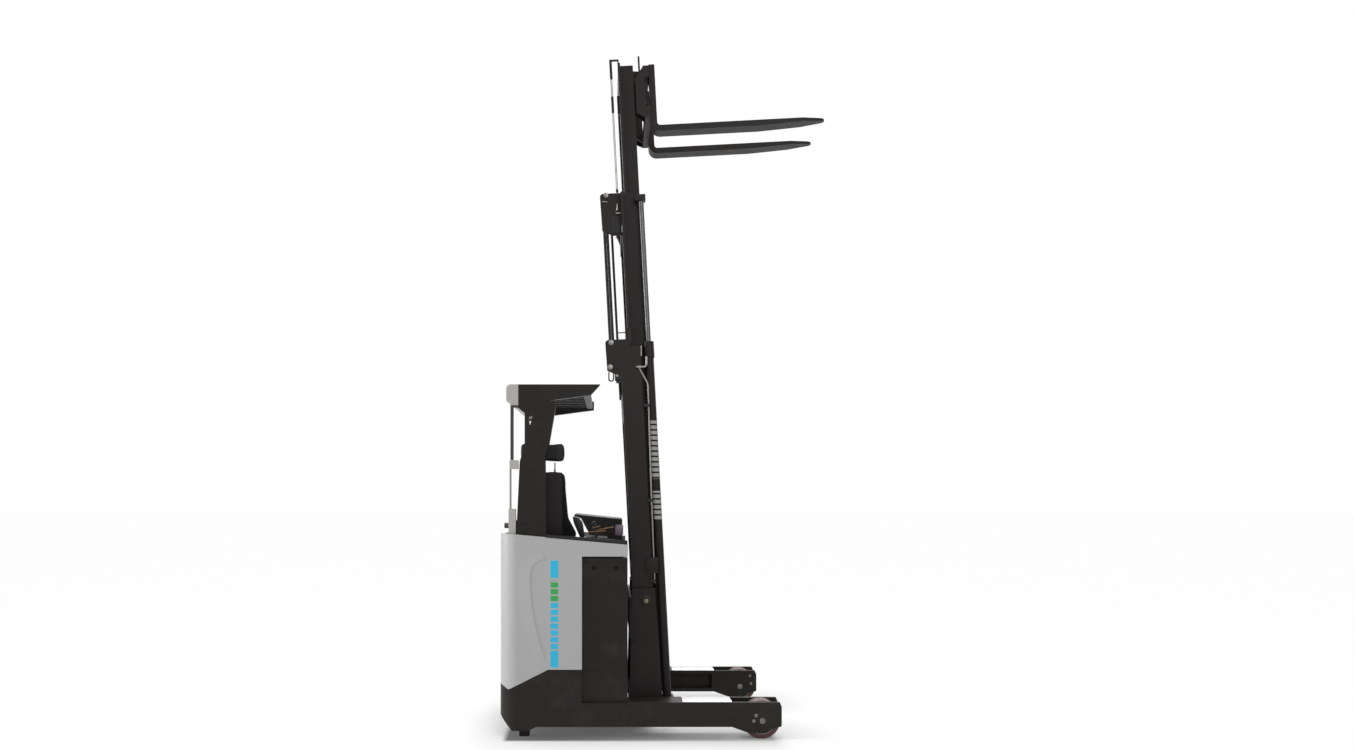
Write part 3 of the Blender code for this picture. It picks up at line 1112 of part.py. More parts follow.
def lift_cylinders():
    """Lift barrels on the foot plates and the rods that push up the middle stage."""
    bottom = MAST_FOOT - STAGE_LIFT + SEAT_GAP
    for label, sign in SIDES:
        barrel = cylinder((0.0, 0.0, bottom), (0.0, 0.0, LIFT_TOP), LIFT_RADIUS)
        gland = cylinder((0.0, 0.0, LIFT_TOP - GLAND_LENGTH), (0.0, 0.0, LIFT_TOP - 0.001), GLAND_RADIUS)
        bore = cylinder((0.0, 0.0, bottom + 0.030), (0.0, 0.0, LIFT_TOP + 0.1), LIFT_ROD_RADIUS + ROD_GAP)
        barrel = cut(fuse("barrel", [barrel, gland]), [bore])
        finish(smooth(barrel), "lift_barrel_" + label, mast, "black", (LIFT_X, sign * LIFT_Y, 0.0))
        rod = cylinder((0.0, 0.0, LIFT_ROD_TOP - LIFT_ROD_LENGTH), (0.0, 0.0, LIFT_ROD_TOP), LIFT_ROD_RADIUS)
        finish(smooth(rod), "lift_rod_" + label, mid_stage, "chrome", (LIFT_X, sign * LIFT_Y, 0.0))


def free_lift():
    """Free lift barrel on the inner stage, and its rod with the chain head."""
    bottom = MAST_FOOT + 0.020
    top = bottom + FREE_LENGTH
    half = CHAIN_WIDTH / 2
    barrel = cylinder((0.0, 0.0, bottom), (0.0, 0.0, top), FREE_RADIUS)
    gland = cylinder((0.0, 0.0, top - 0.06), (0.0, 0.0, top - SINK), FREE_RADIUS - SINK + SEAT_GAP)
    bore = cylinder((0.0, 0.0, bottom + 0.030), (0.0, 0.0, top + 0.1), FREE_ROD_RADIUS + ROD_GAP)
    reach_out = CARRIAGE_CHAIN_Y + half + 0.012
    anchor = box((-FREE_PULLEY_RADIUS - 0.012, HEAD_DEPTH), (-reach_out, reach_out), (top - 0.025, top - 0.003))
    slots = []
    for _, sign in SIDES:
        y = sign * CARRIAGE_CHAIN_Y
        slots.append(box((-FREE_PULLEY_RADIUS - 0.005, -FREE_PULLEY_RADIUS + CHAIN_THICK + 0.005),
                         (y - half - 0.005, y + half + 0.005), (top - 0.1, top + 0.1)))
    barrel = cut(fuse("barrel", [barrel, gland, anchor]), [bore] + slots)
    finish(smooth(barrel), "free_lift_barrel", inner_stage, "black", (FREE_X, 0.0, 0.0))
    base = top + 0.015
    rod = cylinder((0.0, 0.0, bottom + 0.045), (0.0, 0.0, base + 0.01), FREE_ROD_RADIUS)
    pieces = [rod, box((-HEAD_DEPTH, HEAD_DEPTH), (-HEAD_HALF, HEAD_HALF), (base, base + HEAD_HEIGHT))]
    level = base + HEAD_HEIGHT + 0.012
    for _, sign in SIDES:
        y = sign * CARRIAGE_CHAIN_Y
        pieces.append(cylinder((0.0, y - 0.020, level), (0.0, y + 0.020, level), FREE_PULLEY_RADIUS, 20))
        pieces.append(box((-FREE_PULLEY_RADIUS - SINK, -FREE_PULLEY_RADIUS + CHAIN_THICK), (y - half, y + half),
                          (top - 0.014 - CARRIAGE_RISE / 2, level)))
    finish(fuse("free_lift_rod", pieces), "free_lift_rod", lift_head, "chrome", (FREE_X, 0.0, 0.0))


def fork_carriage():
    """Fork carriage: roller plates in the inner rails, outer cheeks and two fork bars."""
    base = FORK_TOP_DOWN
    front = FORK_FACE_X - FORK_THICK - SEAT_GAP
    bar = front - FORK_BAR_THICK
    rail_middle = INNER_REAR + INNER_DEPTH / 2
    low = base + CARRIAGE_ROLLER_LOW
    high = base + CARRIAGE_ROLLER_HIGH
    bottom = base + FORK_BAR_LOW
    top = base + FORK_BAR_HIGH + FORK_BAR_HEIGHT
    pieces = []
    for level in (bottom, base + FORK_BAR_HIGH):
        pieces.append(box((bar, front), (-CARRIAGE_HALF, CARRIAGE_HALF), (level, level + FORK_BAR_HEIGHT)))
    play = (INNER_DEPTH - 2 * RAIL_FLANGE) / 2 - CARRIAGE_ROLLER_RADIUS - TURN_GAP
    y = INNER_TIP - RUN_GAP - CARRIAGE_WALL
    plate = [(rail_middle - 0.030, low - 0.045), (bar + 0.002, bottom + 0.002), (bar + 0.002, top - 0.002),
             (rail_middle - 0.030, high + 0.045)]
    rear = INNER_REAR + INNER_DEPTH + 0.010
    cheek = [(rear, bottom + 0.03), (bar + 0.002, bottom + SINK), (bar + 0.002, top - SINK),
             (rear, top - 0.085)]
    cheek_in = CARRIAGE_HALF - CARRIAGE_WALL
    for _, sign in SIDES:
        pieces.append(prism(plate, "Y", *sorted((sign * y, sign * (y + CARRIAGE_WALL)))))
        pieces.append(prism(cheek, "Y", *sorted((sign * CARRIAGE_HALF, sign * cheek_in))))
        for level, shift in ((low, -play), (high, play)):
            pieces.append(cylinder((rail_middle + shift, sign * (y + 0.002), level),
                                   (rail_middle + shift, sign * (INNER_HALF - RAIL_WEB - 0.003), level),
                                   CARRIAGE_ROLLER_RADIUS, 20))
    pieces.append(box((HOOK_X, HOOK_X + 0.012), (-CARRIAGE_HALF, -CARRIAGE_HALF + CARRIAGE_WALL - SINK),
                      (base + FORK_BAR_HIGH - 0.05, base + HOOK_TOP)))
    finish(fuse("fork_carriage", pieces), "fork_carriage", carriage_stage, "black")


def fork(label, sign):
    """Forged fork: upright shank, round heel and a blade that tapers to its tip."""
    top = FORK_TOP_DOWN
    back = FORK_FACE_X - FORK_THICK
    tip = FORK_FACE_X + FORK_LENGTH
    side = [(back, top + FORK_SHANK)]
    side += arc((back + FORK_HEEL, top - FORK_THICK + FORK_HEEL), FORK_HEEL, 180.0, 270.0, 6)
    side += [(tip - FORK_TAPER, top - FORK_THICK), (tip, top - FORK_TIP_THICK - 0.004), (tip, top - 0.004),
             (tip - 0.03, top)]
    side += arc((FORK_FACE_X + 0.020, top + 0.020), 0.020, 270.0, 180.0, 4)
    side += [(FORK_FACE_X, top + FORK_SHANK)]
    half = FORK_WIDTH / 2
    body = prism(side, "Y", -half, half)
    plan = [(back - 0.01, -half), (tip - 0.16, -half)] + arc((tip - 0.030, 0.0), 0.030, -60.0, 60.0, 6)
    plan += [(tip - 0.16, half), (back - 0.01, half)]
    body = common(body, [prism(plan, "Z", top - 0.1, top + FORK_SHANK + 0.1)])
    finish(body, "fork_" + label, carriage_stage, "black", (0.0, sign * FORK_SPREAD / 2, 0.0))


def reach_frame():
    """Mast carriage: side plates with the mast's pivot pins, low cross beam and rollers."""
    low = REACH_BEAM_BOTTOM
    arm_end = REACH_ROLLER_REAR - 0.030
    side = [(arm_end, low + 0.025), (arm_end + 0.04, low + 0.01), (REACH_REAR_FOOT, low),
            (TILT_PIN_X - 0.075, low), (TILT_PIN_X - 0.055, low + 0.02), (REACH_FRONT_FOOT, REACH_KNEE_Z),
            (REACH_FRONT_TOP, REACH_PLATE_TOP), (REACH_REAR_TOP, REACH_PLATE_TOP),
            (REACH_REAR_FOOT, REACH_KNEE_Z), (REACH_REAR_FOOT - 0.012, REACH_ARM_TOP), (arm_end, REACH_ARM_TOP)]
    half = REACH_PLATE_IN + REACH_PLATE_WALL
    across = (-half + SINK, half - SINK)
    rear = REACH_REAR_FOOT + SINK
    level = CHANNEL_FLOOR + TURN_GAP + REACH_ROLLER_RADIUS
    pieces = [box((rear, REACH_REAR_FOOT + REACH_BEAM_DEPTH), across, (low + SINK, REACH_BEAM_TOP)),
              box((rear, rear + CROSS_WALL), across, (0.63, 0.90)),
              box((rear + 0.01, PIVOT_X + 0.071), across, (low + SINK, low + REACH_SHELF))]
    for _, sign in SIDES:
        pieces.append(prism(side, "Y", *sorted((sign * REACH_PLATE_IN, sign * half))))
        pieces.append(cylinder((PIVOT_X, sign * (OUTER_HALF - RAIL_WEB - SINK), PIVOT_Z),
                               (PIVOT_X, sign * (half + 0.012), PIVOT_Z), PIVOT_RADIUS))
        roller_end = sign * (LEG_INNER + CHANNEL_DEPTH - 0.006)
        for x in (REACH_ROLLER_REAR, REACH_ROLLER_FRONT):
            pieces.append(cylinder((x, sign * (half - 0.005), level), (x, sign * (LEG_INNER + 0.002), level),
                                   REACH_PIN_RADIUS, 12))
            pieces.append(cylinder((x, sign * (LEG_INNER + SINK), level), (x, roller_end, level),
                                   REACH_ROLLER_RADIUS, 16))
    body = fuse("reach_frame", pieces)
    shaft = cylinder((TILT_EYE_X, -HALF_WIDTH, TILT_Z), (TILT_EYE_X, HALF_WIDTH, TILT_Z),
                     TILT_SHAFT_RADIUS + BORE_GAP)
    eye = cylinder((REACH_REAR_FOOT - 0.01, REACH_CYL_Y, REACH_CYL_Z),
                   (REACH_REAR_FOOT + 0.030, REACH_CYL_Y, REACH_CYL_Z), REACH_ROD_RADIUS + SEAT_GAP)
    finish(cut(body, [shaft, eye]), "reach_frame", reach, "black")


def reach_cylinder():
    """Reach cylinder under the battery, its rod fixed to the mast carriage."""
    start = REACH_CYL_START
    barrel = cylinder((start, 0.0, 0.0), (BAY_END - 0.002, 0.0, 0.0), REACH_CYL_RADIUS)
    bore = cylinder((start + REACH_CYL_WALL, 0.0, 0.0), (BAY_END + 0.1, 0.0, 0.0), REACH_ROD_RADIUS + ROD_GAP)
    place = (0.0, REACH_CYL_Y, REACH_CYL_Z)
    finish(smooth(cut(barrel, [bore])), "reach_barrel", truck, "black", place)
    rod = cylinder((start + REACH_CYL_WALL + 0.01, 0.0, 0.0), (REACH_REAR_FOOT + 0.029, 0.0, 0.0),
                   REACH_ROD_RADIUS)
    finish(smooth(rod), "reach_rod", reach, "chrome", place)


def tilt_cylinders():
    """Two tilt barrels on one shaft, and their rods to the lugs under the mast foot."""
    length = TILT_PIN_X - TILT_EYE_X
    half = REACH_PLATE_IN + REACH_PLATE_WALL - SINK
    pieces = [cylinder((0.0, -half, 0.0), (0.0, half, 0.0), TILT_SHAFT_RADIUS, 20)]
    bores = []
    for label, sign in SIDES:
        y = sign * TILT_Y
        pieces.append(cylinder((0.0, y - TILT_EYE_HALF, 0.0), (0.0, y + TILT_EYE_HALF, 0.0), TILT_EYE_RADIUS))
        pieces.append(cylinder((0.009, y, 0.0), (TILT_BARREL_LENGTH, y, 0.0), TILT_RADIUS))
        bores.append(cylinder((0.030, y, 0.0), (TILT_BARREL_LENGTH + 0.1, y, 0.0), TILT_ROD_RADIUS + ROD_GAP))
        rod = cylinder((0.100 - length, 0.0, 0.0), (-0.0155, 0.0, 0.0), TILT_ROD_RADIUS, 20)
        eye = cylinder((0.0, -TILT_EYE_HALF, 0.0), (0.0, TILT_EYE_HALF, 0.0), TILT_EYE_RADIUS, 20)
        pin_half = TILT_EYE_HALF + LUG_GAP + LUG_WALL - SINK
        pin = cylinder((0.0, -pin_half, 0.0), (0.0, pin_half, 0.0), TILT_SHAFT_RADIUS, 16)
        name = "tilt_rod_" + label
        finish(smooth(fuse(name, [eye, rod, pin])), name, tilt_eye, "chrome", (length, y, 0.0))
    finish(smooth(cut(fuse("tilt_barrels", pieces), bores)), "tilt_barrels", tilt_eye, "black")


chassis()
for side_name, side_sign in SIDES:
    leg(side_name, side_sign)
    load_wheel(side_name, side_sign)
drive_unit()
battery()
panels()
console()
controls()
floor()
seat()
guard()
outer_mast()
mid_mast()
mast_hoses()
inner_mast()
lift_cylinders()
free_lift()
fork_carriage()
for side_name, side_sign in SIDES:
    fork(side_name, side_sign)
reach_frame()
reach_cylinder()
tilt_cylinders()
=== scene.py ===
# %% [markdown]
# # A reach truck with its mast half raised
#
# A reach truck is a warehouse truck whose driver sits sideways. Its mast stands on a carriage that
# slides forward between two load legs, and two stages run up inside the outer one.
# The solids, their places and their joints are finished already. What is added here is what the
# eye judges: paint, plastic, steel, fabric, small fittings, light and the camera.

# %% Load the solids
import math
import bpy
import bmesh
from mathutils import Matrix, Vector


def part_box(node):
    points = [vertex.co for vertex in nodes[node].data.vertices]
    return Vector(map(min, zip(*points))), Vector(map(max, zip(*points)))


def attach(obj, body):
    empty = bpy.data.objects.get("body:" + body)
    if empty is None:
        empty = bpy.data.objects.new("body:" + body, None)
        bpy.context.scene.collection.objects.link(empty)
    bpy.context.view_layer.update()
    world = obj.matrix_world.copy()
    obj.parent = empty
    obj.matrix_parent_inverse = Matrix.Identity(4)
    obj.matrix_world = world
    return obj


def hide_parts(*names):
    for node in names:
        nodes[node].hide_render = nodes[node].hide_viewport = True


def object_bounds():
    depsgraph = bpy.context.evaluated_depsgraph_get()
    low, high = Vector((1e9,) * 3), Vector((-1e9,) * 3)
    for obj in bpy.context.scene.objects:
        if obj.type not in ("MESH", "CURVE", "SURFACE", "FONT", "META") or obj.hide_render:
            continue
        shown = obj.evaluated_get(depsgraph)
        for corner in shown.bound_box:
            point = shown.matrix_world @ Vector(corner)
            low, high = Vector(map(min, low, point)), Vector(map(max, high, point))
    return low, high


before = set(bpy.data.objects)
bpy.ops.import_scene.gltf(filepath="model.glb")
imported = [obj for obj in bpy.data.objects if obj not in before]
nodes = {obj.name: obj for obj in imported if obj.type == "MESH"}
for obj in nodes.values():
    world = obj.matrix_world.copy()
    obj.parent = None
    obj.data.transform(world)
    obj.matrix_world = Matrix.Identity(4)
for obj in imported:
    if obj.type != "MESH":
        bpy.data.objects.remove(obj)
cad_low, cad_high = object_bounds()
LENGTH = cad_high.x - cad_low.x
print("solids:", len(nodes), "length", round(LENGTH, 3), "height", round(cad_high.z, 3))

# %% [markdown]
# ## The camera
#
# The photograph looks straight at the truck's right side from almost seven metres, at chest height.
# A side view like this has its vanishing point on the truck's upper body, not in the middle of the
# picture, so the lens is shifted a little instead of turned. Upright edges then stay upright.

# %% Camera
REAR_TO_EYE = 0.732
EYE_DISTANCE = 6.835
EYE_HEIGHT = 1.615
LENS_MM = 25.55
SENSOR_MM = 36.0
SHIFT = (0.048, 0.085)


def truck_x(forward):
    """World x of a place given as metres forward of the rear bumper."""
    return forward - LENGTH / 2


bpy.ops.object.select_all(action="DESELECT")
bpy.ops.object.camera_add(location=(truck_x(REAR_TO_EYE), -EYE_DISTANCE, EYE_HEIGHT),
                          rotation=(math.radians(90.0), 0.0, 0.0))
camera = bpy.context.object
camera.data.sensor_width = SENSOR_MM
camera.data.lens = LENS_MM
camera.data.shift_x, camera.data.shift_y = SHIFT
camera.data.clip_end = 200.0
bpy.context.scene.camera = camera
print("camera at", [round(v, 3) for v in camera.location])

# %% [markdown]
# ## Maths in materials
#
# A procedural finish is mostly arithmetic on patterns: a speck mask times a strength, one minus a
# worn patch. Writing that as a tree of nodes by hand is slow to read. One small class wraps a socket
# and answers to plus, minus and times by adding the Math node, so a finish reads like a formula.

# %% Sockets that can be added and multiplied
class Wire:
    """A socket of a finish that takes part in sums."""

    def __init__(self, finish, socket):
        self.finish = finish
        self.socket = socket

    def __add__(self, other):
        return self.finish.maths("ADD", self, other)

    def __radd__(self, other):
        return self.finish.maths("ADD", other, self)

    def __sub__(self, other):
        return self.finish.maths("SUBTRACT", self, other)

    def __rsub__(self, other):
        return self.finish.maths("SUBTRACT", other, self)

    def __mul__(self, other):
        return self.finish.maths("MULTIPLY", self, other)

    def __truediv__(self, other):
        return self.finish.maths("DIVIDE", self, other)


# %% One finish with its nodes
class Finish:
    """A material with one Principled shader, whose patterns read the object's own coordinates."""

    def __init__(self, name, colour, roughness, metallic=0.0, **sockets):
        self.material = bpy.data.materials.new(name)
        self.material.use_nodes = True
        self.tree = self.material.node_tree
        self.shader = self.tree.nodes["Principled BSDF"]
        self.set("Base Color", (*colour, 1.0))
        self.set("Roughness", roughness)
        self.set("Metallic", metallic)
        for socket, value in sockets.items():
            self.set(socket.replace("_", " "), value)
        self.place = self.add("ShaderNodeTexCoord", {}, {}, "Object")

    def feed(self, node, key, value):
        """Give one socket of a node a value or a wire."""
        if isinstance(value, Wire):
            self.tree.links.new(value.socket, node.inputs[key])
        else:
            node.inputs[key].default_value = value

    def set(self, socket, value):
        """Feed one socket of the shader."""
        self.feed(self.shader, socket, value)

    def add(self, kind, settings, values, output=0):
        """Add a node, set it up, feed its sockets and hand back one output."""
        node = self.tree.nodes.new(kind)
        for key, value in settings.items():
            setattr(node, key, value)
        for key, value in values.items():
            self.feed(node, key, value)
        return Wire(self, node.outputs[output])

    def maths(self, operation, a, b=0.0):
        return self.add("ShaderNodeMath", {"operation": operation}, {0: a, 1: b})

    def fraction(self, value):
        """What stands after the point, so that a pattern starts again at every whole number."""
        return value - self.maths("FLOOR", value)

    def axis(self, letter):
        """The x, y or z of a point on the piece, in metres."""
        return self.add("ShaderNodeSeparateXYZ", {}, {"Vector": self.place}, letter)

    def noise(self, scale, detail, stretch=(1.0, 1.0, 1.0)):
        where = self.add("ShaderNodeMapping", {}, {"Vector": self.place, "Scale": stretch})
        values = {"Vector": where, "Scale": scale, "Detail": detail}
        return self.add("ShaderNodeTexNoise", {}, values)

    def ramp(self, value, low, high):
        """Nought below low, one above high and smooth between."""
        return self.add("ShaderNodeMapRange", {"interpolation_type": "SMOOTHSTEP"},
                        {"Value": value, "From Min": low, "From Max": high})

    def past(self, value, place, soft=0.001):
        """A mask of one where a value has passed a place, with a soft edge."""
        return self.ramp(value, place - soft, place + soft)

    def between(self, value, low, high, soft=0.0006):
        """A mask of one where a value lies between two others."""
        return self.past(value, low, soft) * (1.0 - self.past(value, high, soft))

    def blend(self, mask, under, over):
        """One colour over another where the mask is one."""
        under = under if isinstance(under, Wire) else (*under, 1.0)
        over = over if isinstance(over, Wire) else (*over, 1.0)
        return self.add("ShaderNodeMix", {"data_type": "RGBA"}, {0: mask, 6: under, 7: over}, 2)

    def bump(self, height, metres):
        """Raise the surface by a height pattern, at most that many metres."""
        values = {"Height": height, "Distance": metres}
        self.set("Normal", self.add("ShaderNodeBump", {}, values, "Normal"))

# %% [markdown]
# ## Paint
#
# Nearly everything that carries load is painted satin black. Real satin paint has a fine orange peel,
# is duller where hands and dust have been, and greyer near the floor. Each of those is one noise
# pattern or one ramp over height, so the finish stays the same wherever the mast stands.

# %% Black paint, new and worn
BLACK = (0.0135, 0.0120, 0.0112)
DUST = (0.052, 0.045, 0.038)
PAINT_GLOSS = 0.13
DUST_HEIGHT = (0.02, 0.60)
RUBBED, DUSTED, SPECKLED = 0.35, 0.18, 0.20
PEEL_SCALE, PEEL_DEPTH = 380.0, 0.00025


def black_paint(name, wear):
    """Satin black paint: orange peel, rubbed patches and dust near the floor."""
    finish = Finish(name, BLACK, 0.44, Specular_IOR_Level=PAINT_GLOSS)
    rubbed = finish.ramp(finish.noise(7.0, 6.0), 0.50, 0.74)
    specks = finish.ramp(finish.noise(90.0, 4.0), 0.62, 0.70)
    low = 1.0 - finish.ramp(finish.axis("Z"), *DUST_HEIGHT)
    dirt = rubbed * RUBBED + low * DUSTED + specks * SPECKLED
    finish.set("Base Color", finish.blend(dirt * wear, BLACK, DUST))
    finish.set("Roughness", 0.42 + dirt * 0.28)
    finish.bump(finish.noise(PEEL_SCALE, 2.0), PEEL_DEPTH)
    return finish


frame_black = black_paint("frame_black", 0.55)
mast_black = black_paint("mast_black", 0.30)
battery_black = black_paint("battery_black", 0.80)
print("black paints: frame, mast and battery, dust up to", DUST_HEIGHT[1], "m")

# %% [markdown]
# The body panels are silver grey with a bright stripe down the near side. The stripe on the real truck
# frames lettering. Here two solid blocks keep their places and short plain bars fill the space
# between, all as masks over height and length, so that no picture is needed.

# %% Grey panels and their stripe
GREY = (0.335, 0.336, 0.339)
FLAKE = (0.27, 0.27, 0.275)
CYAN = (0.002, 0.385, 0.600)
GREEN = (0.010, 0.300, 0.050)
SCUFF_HEIGHT = (0.4, 1.2)
NEAR_SIDE = (-0.56, -0.55)
STRIPE_X = (0.335, 0.386)
STRIPE_BLOCKS = ((1.048, 1.160), (0.470, 0.577))
BAR_BOTTOM, BAR_PITCH, BAR_HEIGHT = 0.588, 0.0442, 0.034
BAR_INSET = 0.001
BAR_TOP = 1.032
GREEN_FROM = 0.89


def panel_paint():
    """Silver grey paint with fine flakes, dull at the foot, and the stripe on the near side."""
    finish = Finish("panel_grey", GREY, 0.38, Specular_IOR_Level=0.55)
    x, y, z = (finish.axis(letter) for letter in "XYZ")
    flakes = finish.ramp(finish.noise(900.0, 2.0), 0.55, 0.75)
    scuffs = finish.ramp(finish.noise(5.0, 7.0), 0.56, 0.78)
    scuffs = scuffs * (1.0 - finish.ramp(z, *SCUFF_HEIGHT))
    rear, front = STRIPE_X
    near = 1.0 - finish.ramp(y, *NEAR_SIDE)
    blocks = sum(finish.between(z, low, high) for low, high in STRIPE_BLOCKS)
    blocks = blocks * finish.between(x, truck_x(rear), truck_x(front))
    turn = finish.fraction((z - BAR_BOTTOM) / BAR_PITCH)
    bars = finish.between(turn, 0.0, BAR_HEIGHT / BAR_PITCH, 0.01)
    bars = bars * finish.between(z, BAR_BOTTOM, BAR_TOP)
    bars = bars * finish.between(x, truck_x(rear + BAR_INSET), truck_x(front - BAR_INSET))
    paint = finish.blend(flakes * 0.25 + scuffs * 0.30, GREY, FLAKE)
    paint = finish.blend(blocks * near, paint, CYAN)
    paint = finish.blend(bars * near, paint, finish.blend(finish.past(z, GREEN_FROM), CYAN, GREEN))
    finish.set("Base Color", paint)
    finish.set("Roughness", 0.38 + scuffs * 0.20)
    finish.bump(finish.noise(260.0, 2.0), 0.00012)
    return finish


panel_grey = panel_paint()
print("stripe from", STRIPE_BLOCKS[1][0], "to", STRIPE_BLOCKS[0][1], "m")

# %% [markdown]
# ## Metal, plastic, rubber and cloth
#
# Bare metal differs mostly in how it was finished: drawn and chromed rods are smooth round their axis,
# forks are rubbed along their length by pallets, hubs are turned. Plastic mouldings have a sparked
# grain, and the wheel rings are cast in a dark red plastic that picks up dust.

# %% Metals
def steel(name, colour, roughness, scratch_stretch):
    """Bare steel with fine scratches that run one way."""
    finish = Finish(name, colour, roughness, 1.0)
    scratches = finish.noise(260.0, 4.0, scratch_stretch)
    stains = finish.ramp(finish.noise(14.0, 5.0), 0.55, 0.75)
    finish.set("Roughness", roughness + scratches * 0.12 + stains * 0.15)
    finish.set("Base Color", finish.blend(stains * 0.5, colour, tuple(0.55 * c for c in colour)))
    finish.bump(scratches, 0.00006)
    return finish


ROD_TONE, ROD_ROUGH = (0.082, 0.082, 0.084), 0.26

hub_steel = steel("hub_steel", (0.16, 0.155, 0.15), 0.38, (1.0, 0.1, 1.0))
rod_chrome = steel("rod_chrome", ROD_TONE, ROD_ROUGH, (1.0, 1.0, 0.05))
zinc_pipe = steel("zinc_pipe", (0.215, 0.210, 0.200), 0.34, (1.0, 1.0, 0.1))
plate_steel = steel("plate_steel", (0.66, 0.66, 0.65), 0.24, (0.05, 1.0, 1.0))
olive_zinc = steel("olive_zinc", (0.155, 0.155, 0.085), 0.45, (1.0, 1.0, 1.0))
print("metals: hubs, rods, pipes, leg plates and pins")

# %% Lift rod between two chains
CHAIN_FROM = 0.050
CHAIN_TONE = (0.030, 0.028, 0.026)
LINK_PITCH = 0.0254
LINK_SHARE = (0.08, 0.92)
LINK_DEPTH = 0.0015


def rod_and_chains():
    """Drawn rod on the middle line and oiled leaf chain beside it, with a dark gap at every link."""
    finish = Finish("rod_and_chains", ROD_TONE, ROD_ROUGH, 1.0)
    chain = finish.past(finish.maths("ABSOLUTE", finish.axis("Y")), CHAIN_FROM, 0.002)
    turn = finish.fraction(finish.axis("Z") / LINK_PITCH)
    gap = 1.0 - finish.between(turn, *LINK_SHARE, 0.05)
    finish.set("Base Color", finish.blend(chain, ROD_TONE, CHAIN_TONE))
    finish.set("Metallic", 1.0 - chain * (0.25 + gap * 0.6))
    finish.set("Roughness", ROD_ROUGH + chain * (0.20 + gap * 0.3))
    finish.bump(chain * (1.0 - gap), LINK_DEPTH)
    return finish


lift_chain = rod_and_chains()
print("chain from", CHAIN_FROM, "m off the middle line")

# %% Plastics and rubber
def moulded(name, colour, roughness, grain, depth):
    """A moulding with a sparked grain and slight polish where it is touched."""
    finish = Finish(name, colour, roughness, Specular_IOR_Level=0.22)
    polish = finish.ramp(finish.noise(11.0, 4.0), 0.45, 0.70)
    finish.set("Roughness", roughness - polish * 0.14)
    finish.set("Base Color", finish.blend(polish * 0.4, colour, tuple(1.6 * c for c in colour)))
    finish.bump(finish.noise(grain, 3.0), depth)
    return finish


black_moulding = moulded("black_moulding", (0.0115, 0.011, 0.0105), 0.55, 700.0, 0.0004)
hose_rubber = moulded("hose_rubber", (0.012, 0.012, 0.012), 0.46, 500.0, 0.0002)
# A warm tan for streaks that paint reflections on the hood's cheek.
painted_tan_glint = moulded("painted_tan_glint", (0.16, 0.085, 0.030), 0.42, 500.0, 0.0002)
lilac_moulding = moulded("lilac_moulding", (0.115, 0.085, 0.105), 0.35, 500.0, 0.0001)
stop_red = moulded("stop_red", (0.45, 0.010, 0.008), 0.35, 300.0, 0.0001)
# A near-black with no shine, which paints the shade inside a hole.
painted_hole_shade = moulded("painted_hole_shade", (0.0015, 0.0015, 0.0015), 0.85, 300.0, 0.0002)
print("mouldings: black, rubber, tan, lilac, red and the dark of a hole")

# %% Two finishes on one piece
SILVER = (0.345, 0.335, 0.320)
ROD_GREY = (0.20, 0.20, 0.195)
POST_Z = (1.811, 2.165)
ROD_Z = (1.493, 1.751)
KNOB_FRONT, KNOB_HIGH = 0.0605, 2.19


def post_paint():
    """Silver castings and grey rods, black posts between them and black knobs behind."""
    finish = Finish("rear_post_paint", SILVER, 0.40)
    x, z = finish.axis("X"), finish.axis("Z")
    post, rod = finish.between(z, *POST_Z), finish.between(z, *ROD_Z)
    knob = (1.0 - finish.past(x, truck_x(KNOB_FRONT))) * (1.0 - finish.past(z, KNOB_HIGH))
    grain = finish.ramp(finish.noise(60.0, 5.0), 0.45, 0.75)
    paint = finish.blend(grain * 0.30, SILVER, tuple(0.8 * c for c in SILVER))
    paint = finish.blend(rod, paint, ROD_GREY)
    paint = finish.blend(finish.maths("MAXIMUM", post, knob), paint, BLACK)
    finish.set("Base Color", paint)
    finish.set("Roughness", 0.34 + grain * 0.12)
    finish.bump(finish.noise(320.0, 3.0), 0.0002)
    return finish


BARE_STEEL = (0.30, 0.30, 0.30)
BARE_FROM = 1.752


def seat_iron():
    """Black seat frame whose two headrest posts are bare grey steel."""
    finish = Finish("seat_iron", BLACK, 0.42, Specular_IOR_Level=PAINT_GLOSS)
    bare = finish.past(finish.axis("Z"), BARE_FROM, 0.002)
    grain = finish.noise(240.0, 3.0, (1.0, 1.0, 0.1))
    finish.set("Base Color", finish.blend(bare, BLACK, BARE_STEEL))
    finish.set("Metallic", bare * 0.9)
    finish.set("Roughness", 0.42 - bare * 0.15 + grain * 0.08)
    finish.bump(grain, 0.0001)
    return finish


rear_post = post_paint()
seat_black = seat_iron()
print("guard posts black from", *POST_Z, "m, headrest posts bare from", BARE_FROM, "m")

# %% Wheel rings
TYRE_RED = (0.060, 0.013, 0.007)
TYRE_DUST = (0.062, 0.036, 0.026)


def wheel_red():
    """Cast red-brown plastic, dusty all over and rougher where the dust lies."""
    finish = Finish("wheel_red", TYRE_RED, 0.48)
    dust = finish.ramp(finish.noise(24.0, 6.0), 0.35, 0.75)
    finish.set("Base Color", finish.blend(dust * 0.45, TYRE_RED, TYRE_DUST))
    finish.set("Roughness", 0.34 + dust * 0.25)
    finish.bump(finish.noise(160.0, 5.0), 0.0006)
    return finish


wheel_ring = wheel_red()
print("wheel ring:", wheel_ring.material.name)

# %% Floor mat
MAT_PITCH, RIB_HEIGHT = 0.012, 0.0015
MAT_DUSTY, MAT_BLACK = (0.030, 0.028, 0.026), (0.012, 0.012, 0.012)


def ribbed_mat():
    """Black rubber mat with ribs that run across the entry."""
    finish = Finish("ribbed_mat", (0.014, 0.014, 0.014), 0.70)
    wave = finish.maths("SINE", finish.axis("X") * (2.0 * math.pi / MAT_PITCH))
    ribs = finish.ramp(wave, -0.3, 0.3)
    finish.set("Base Color", finish.blend(ribs * 0.5, MAT_DUSTY, MAT_BLACK))
    finish.bump(ribs, RIB_HEIGHT)
    return finish


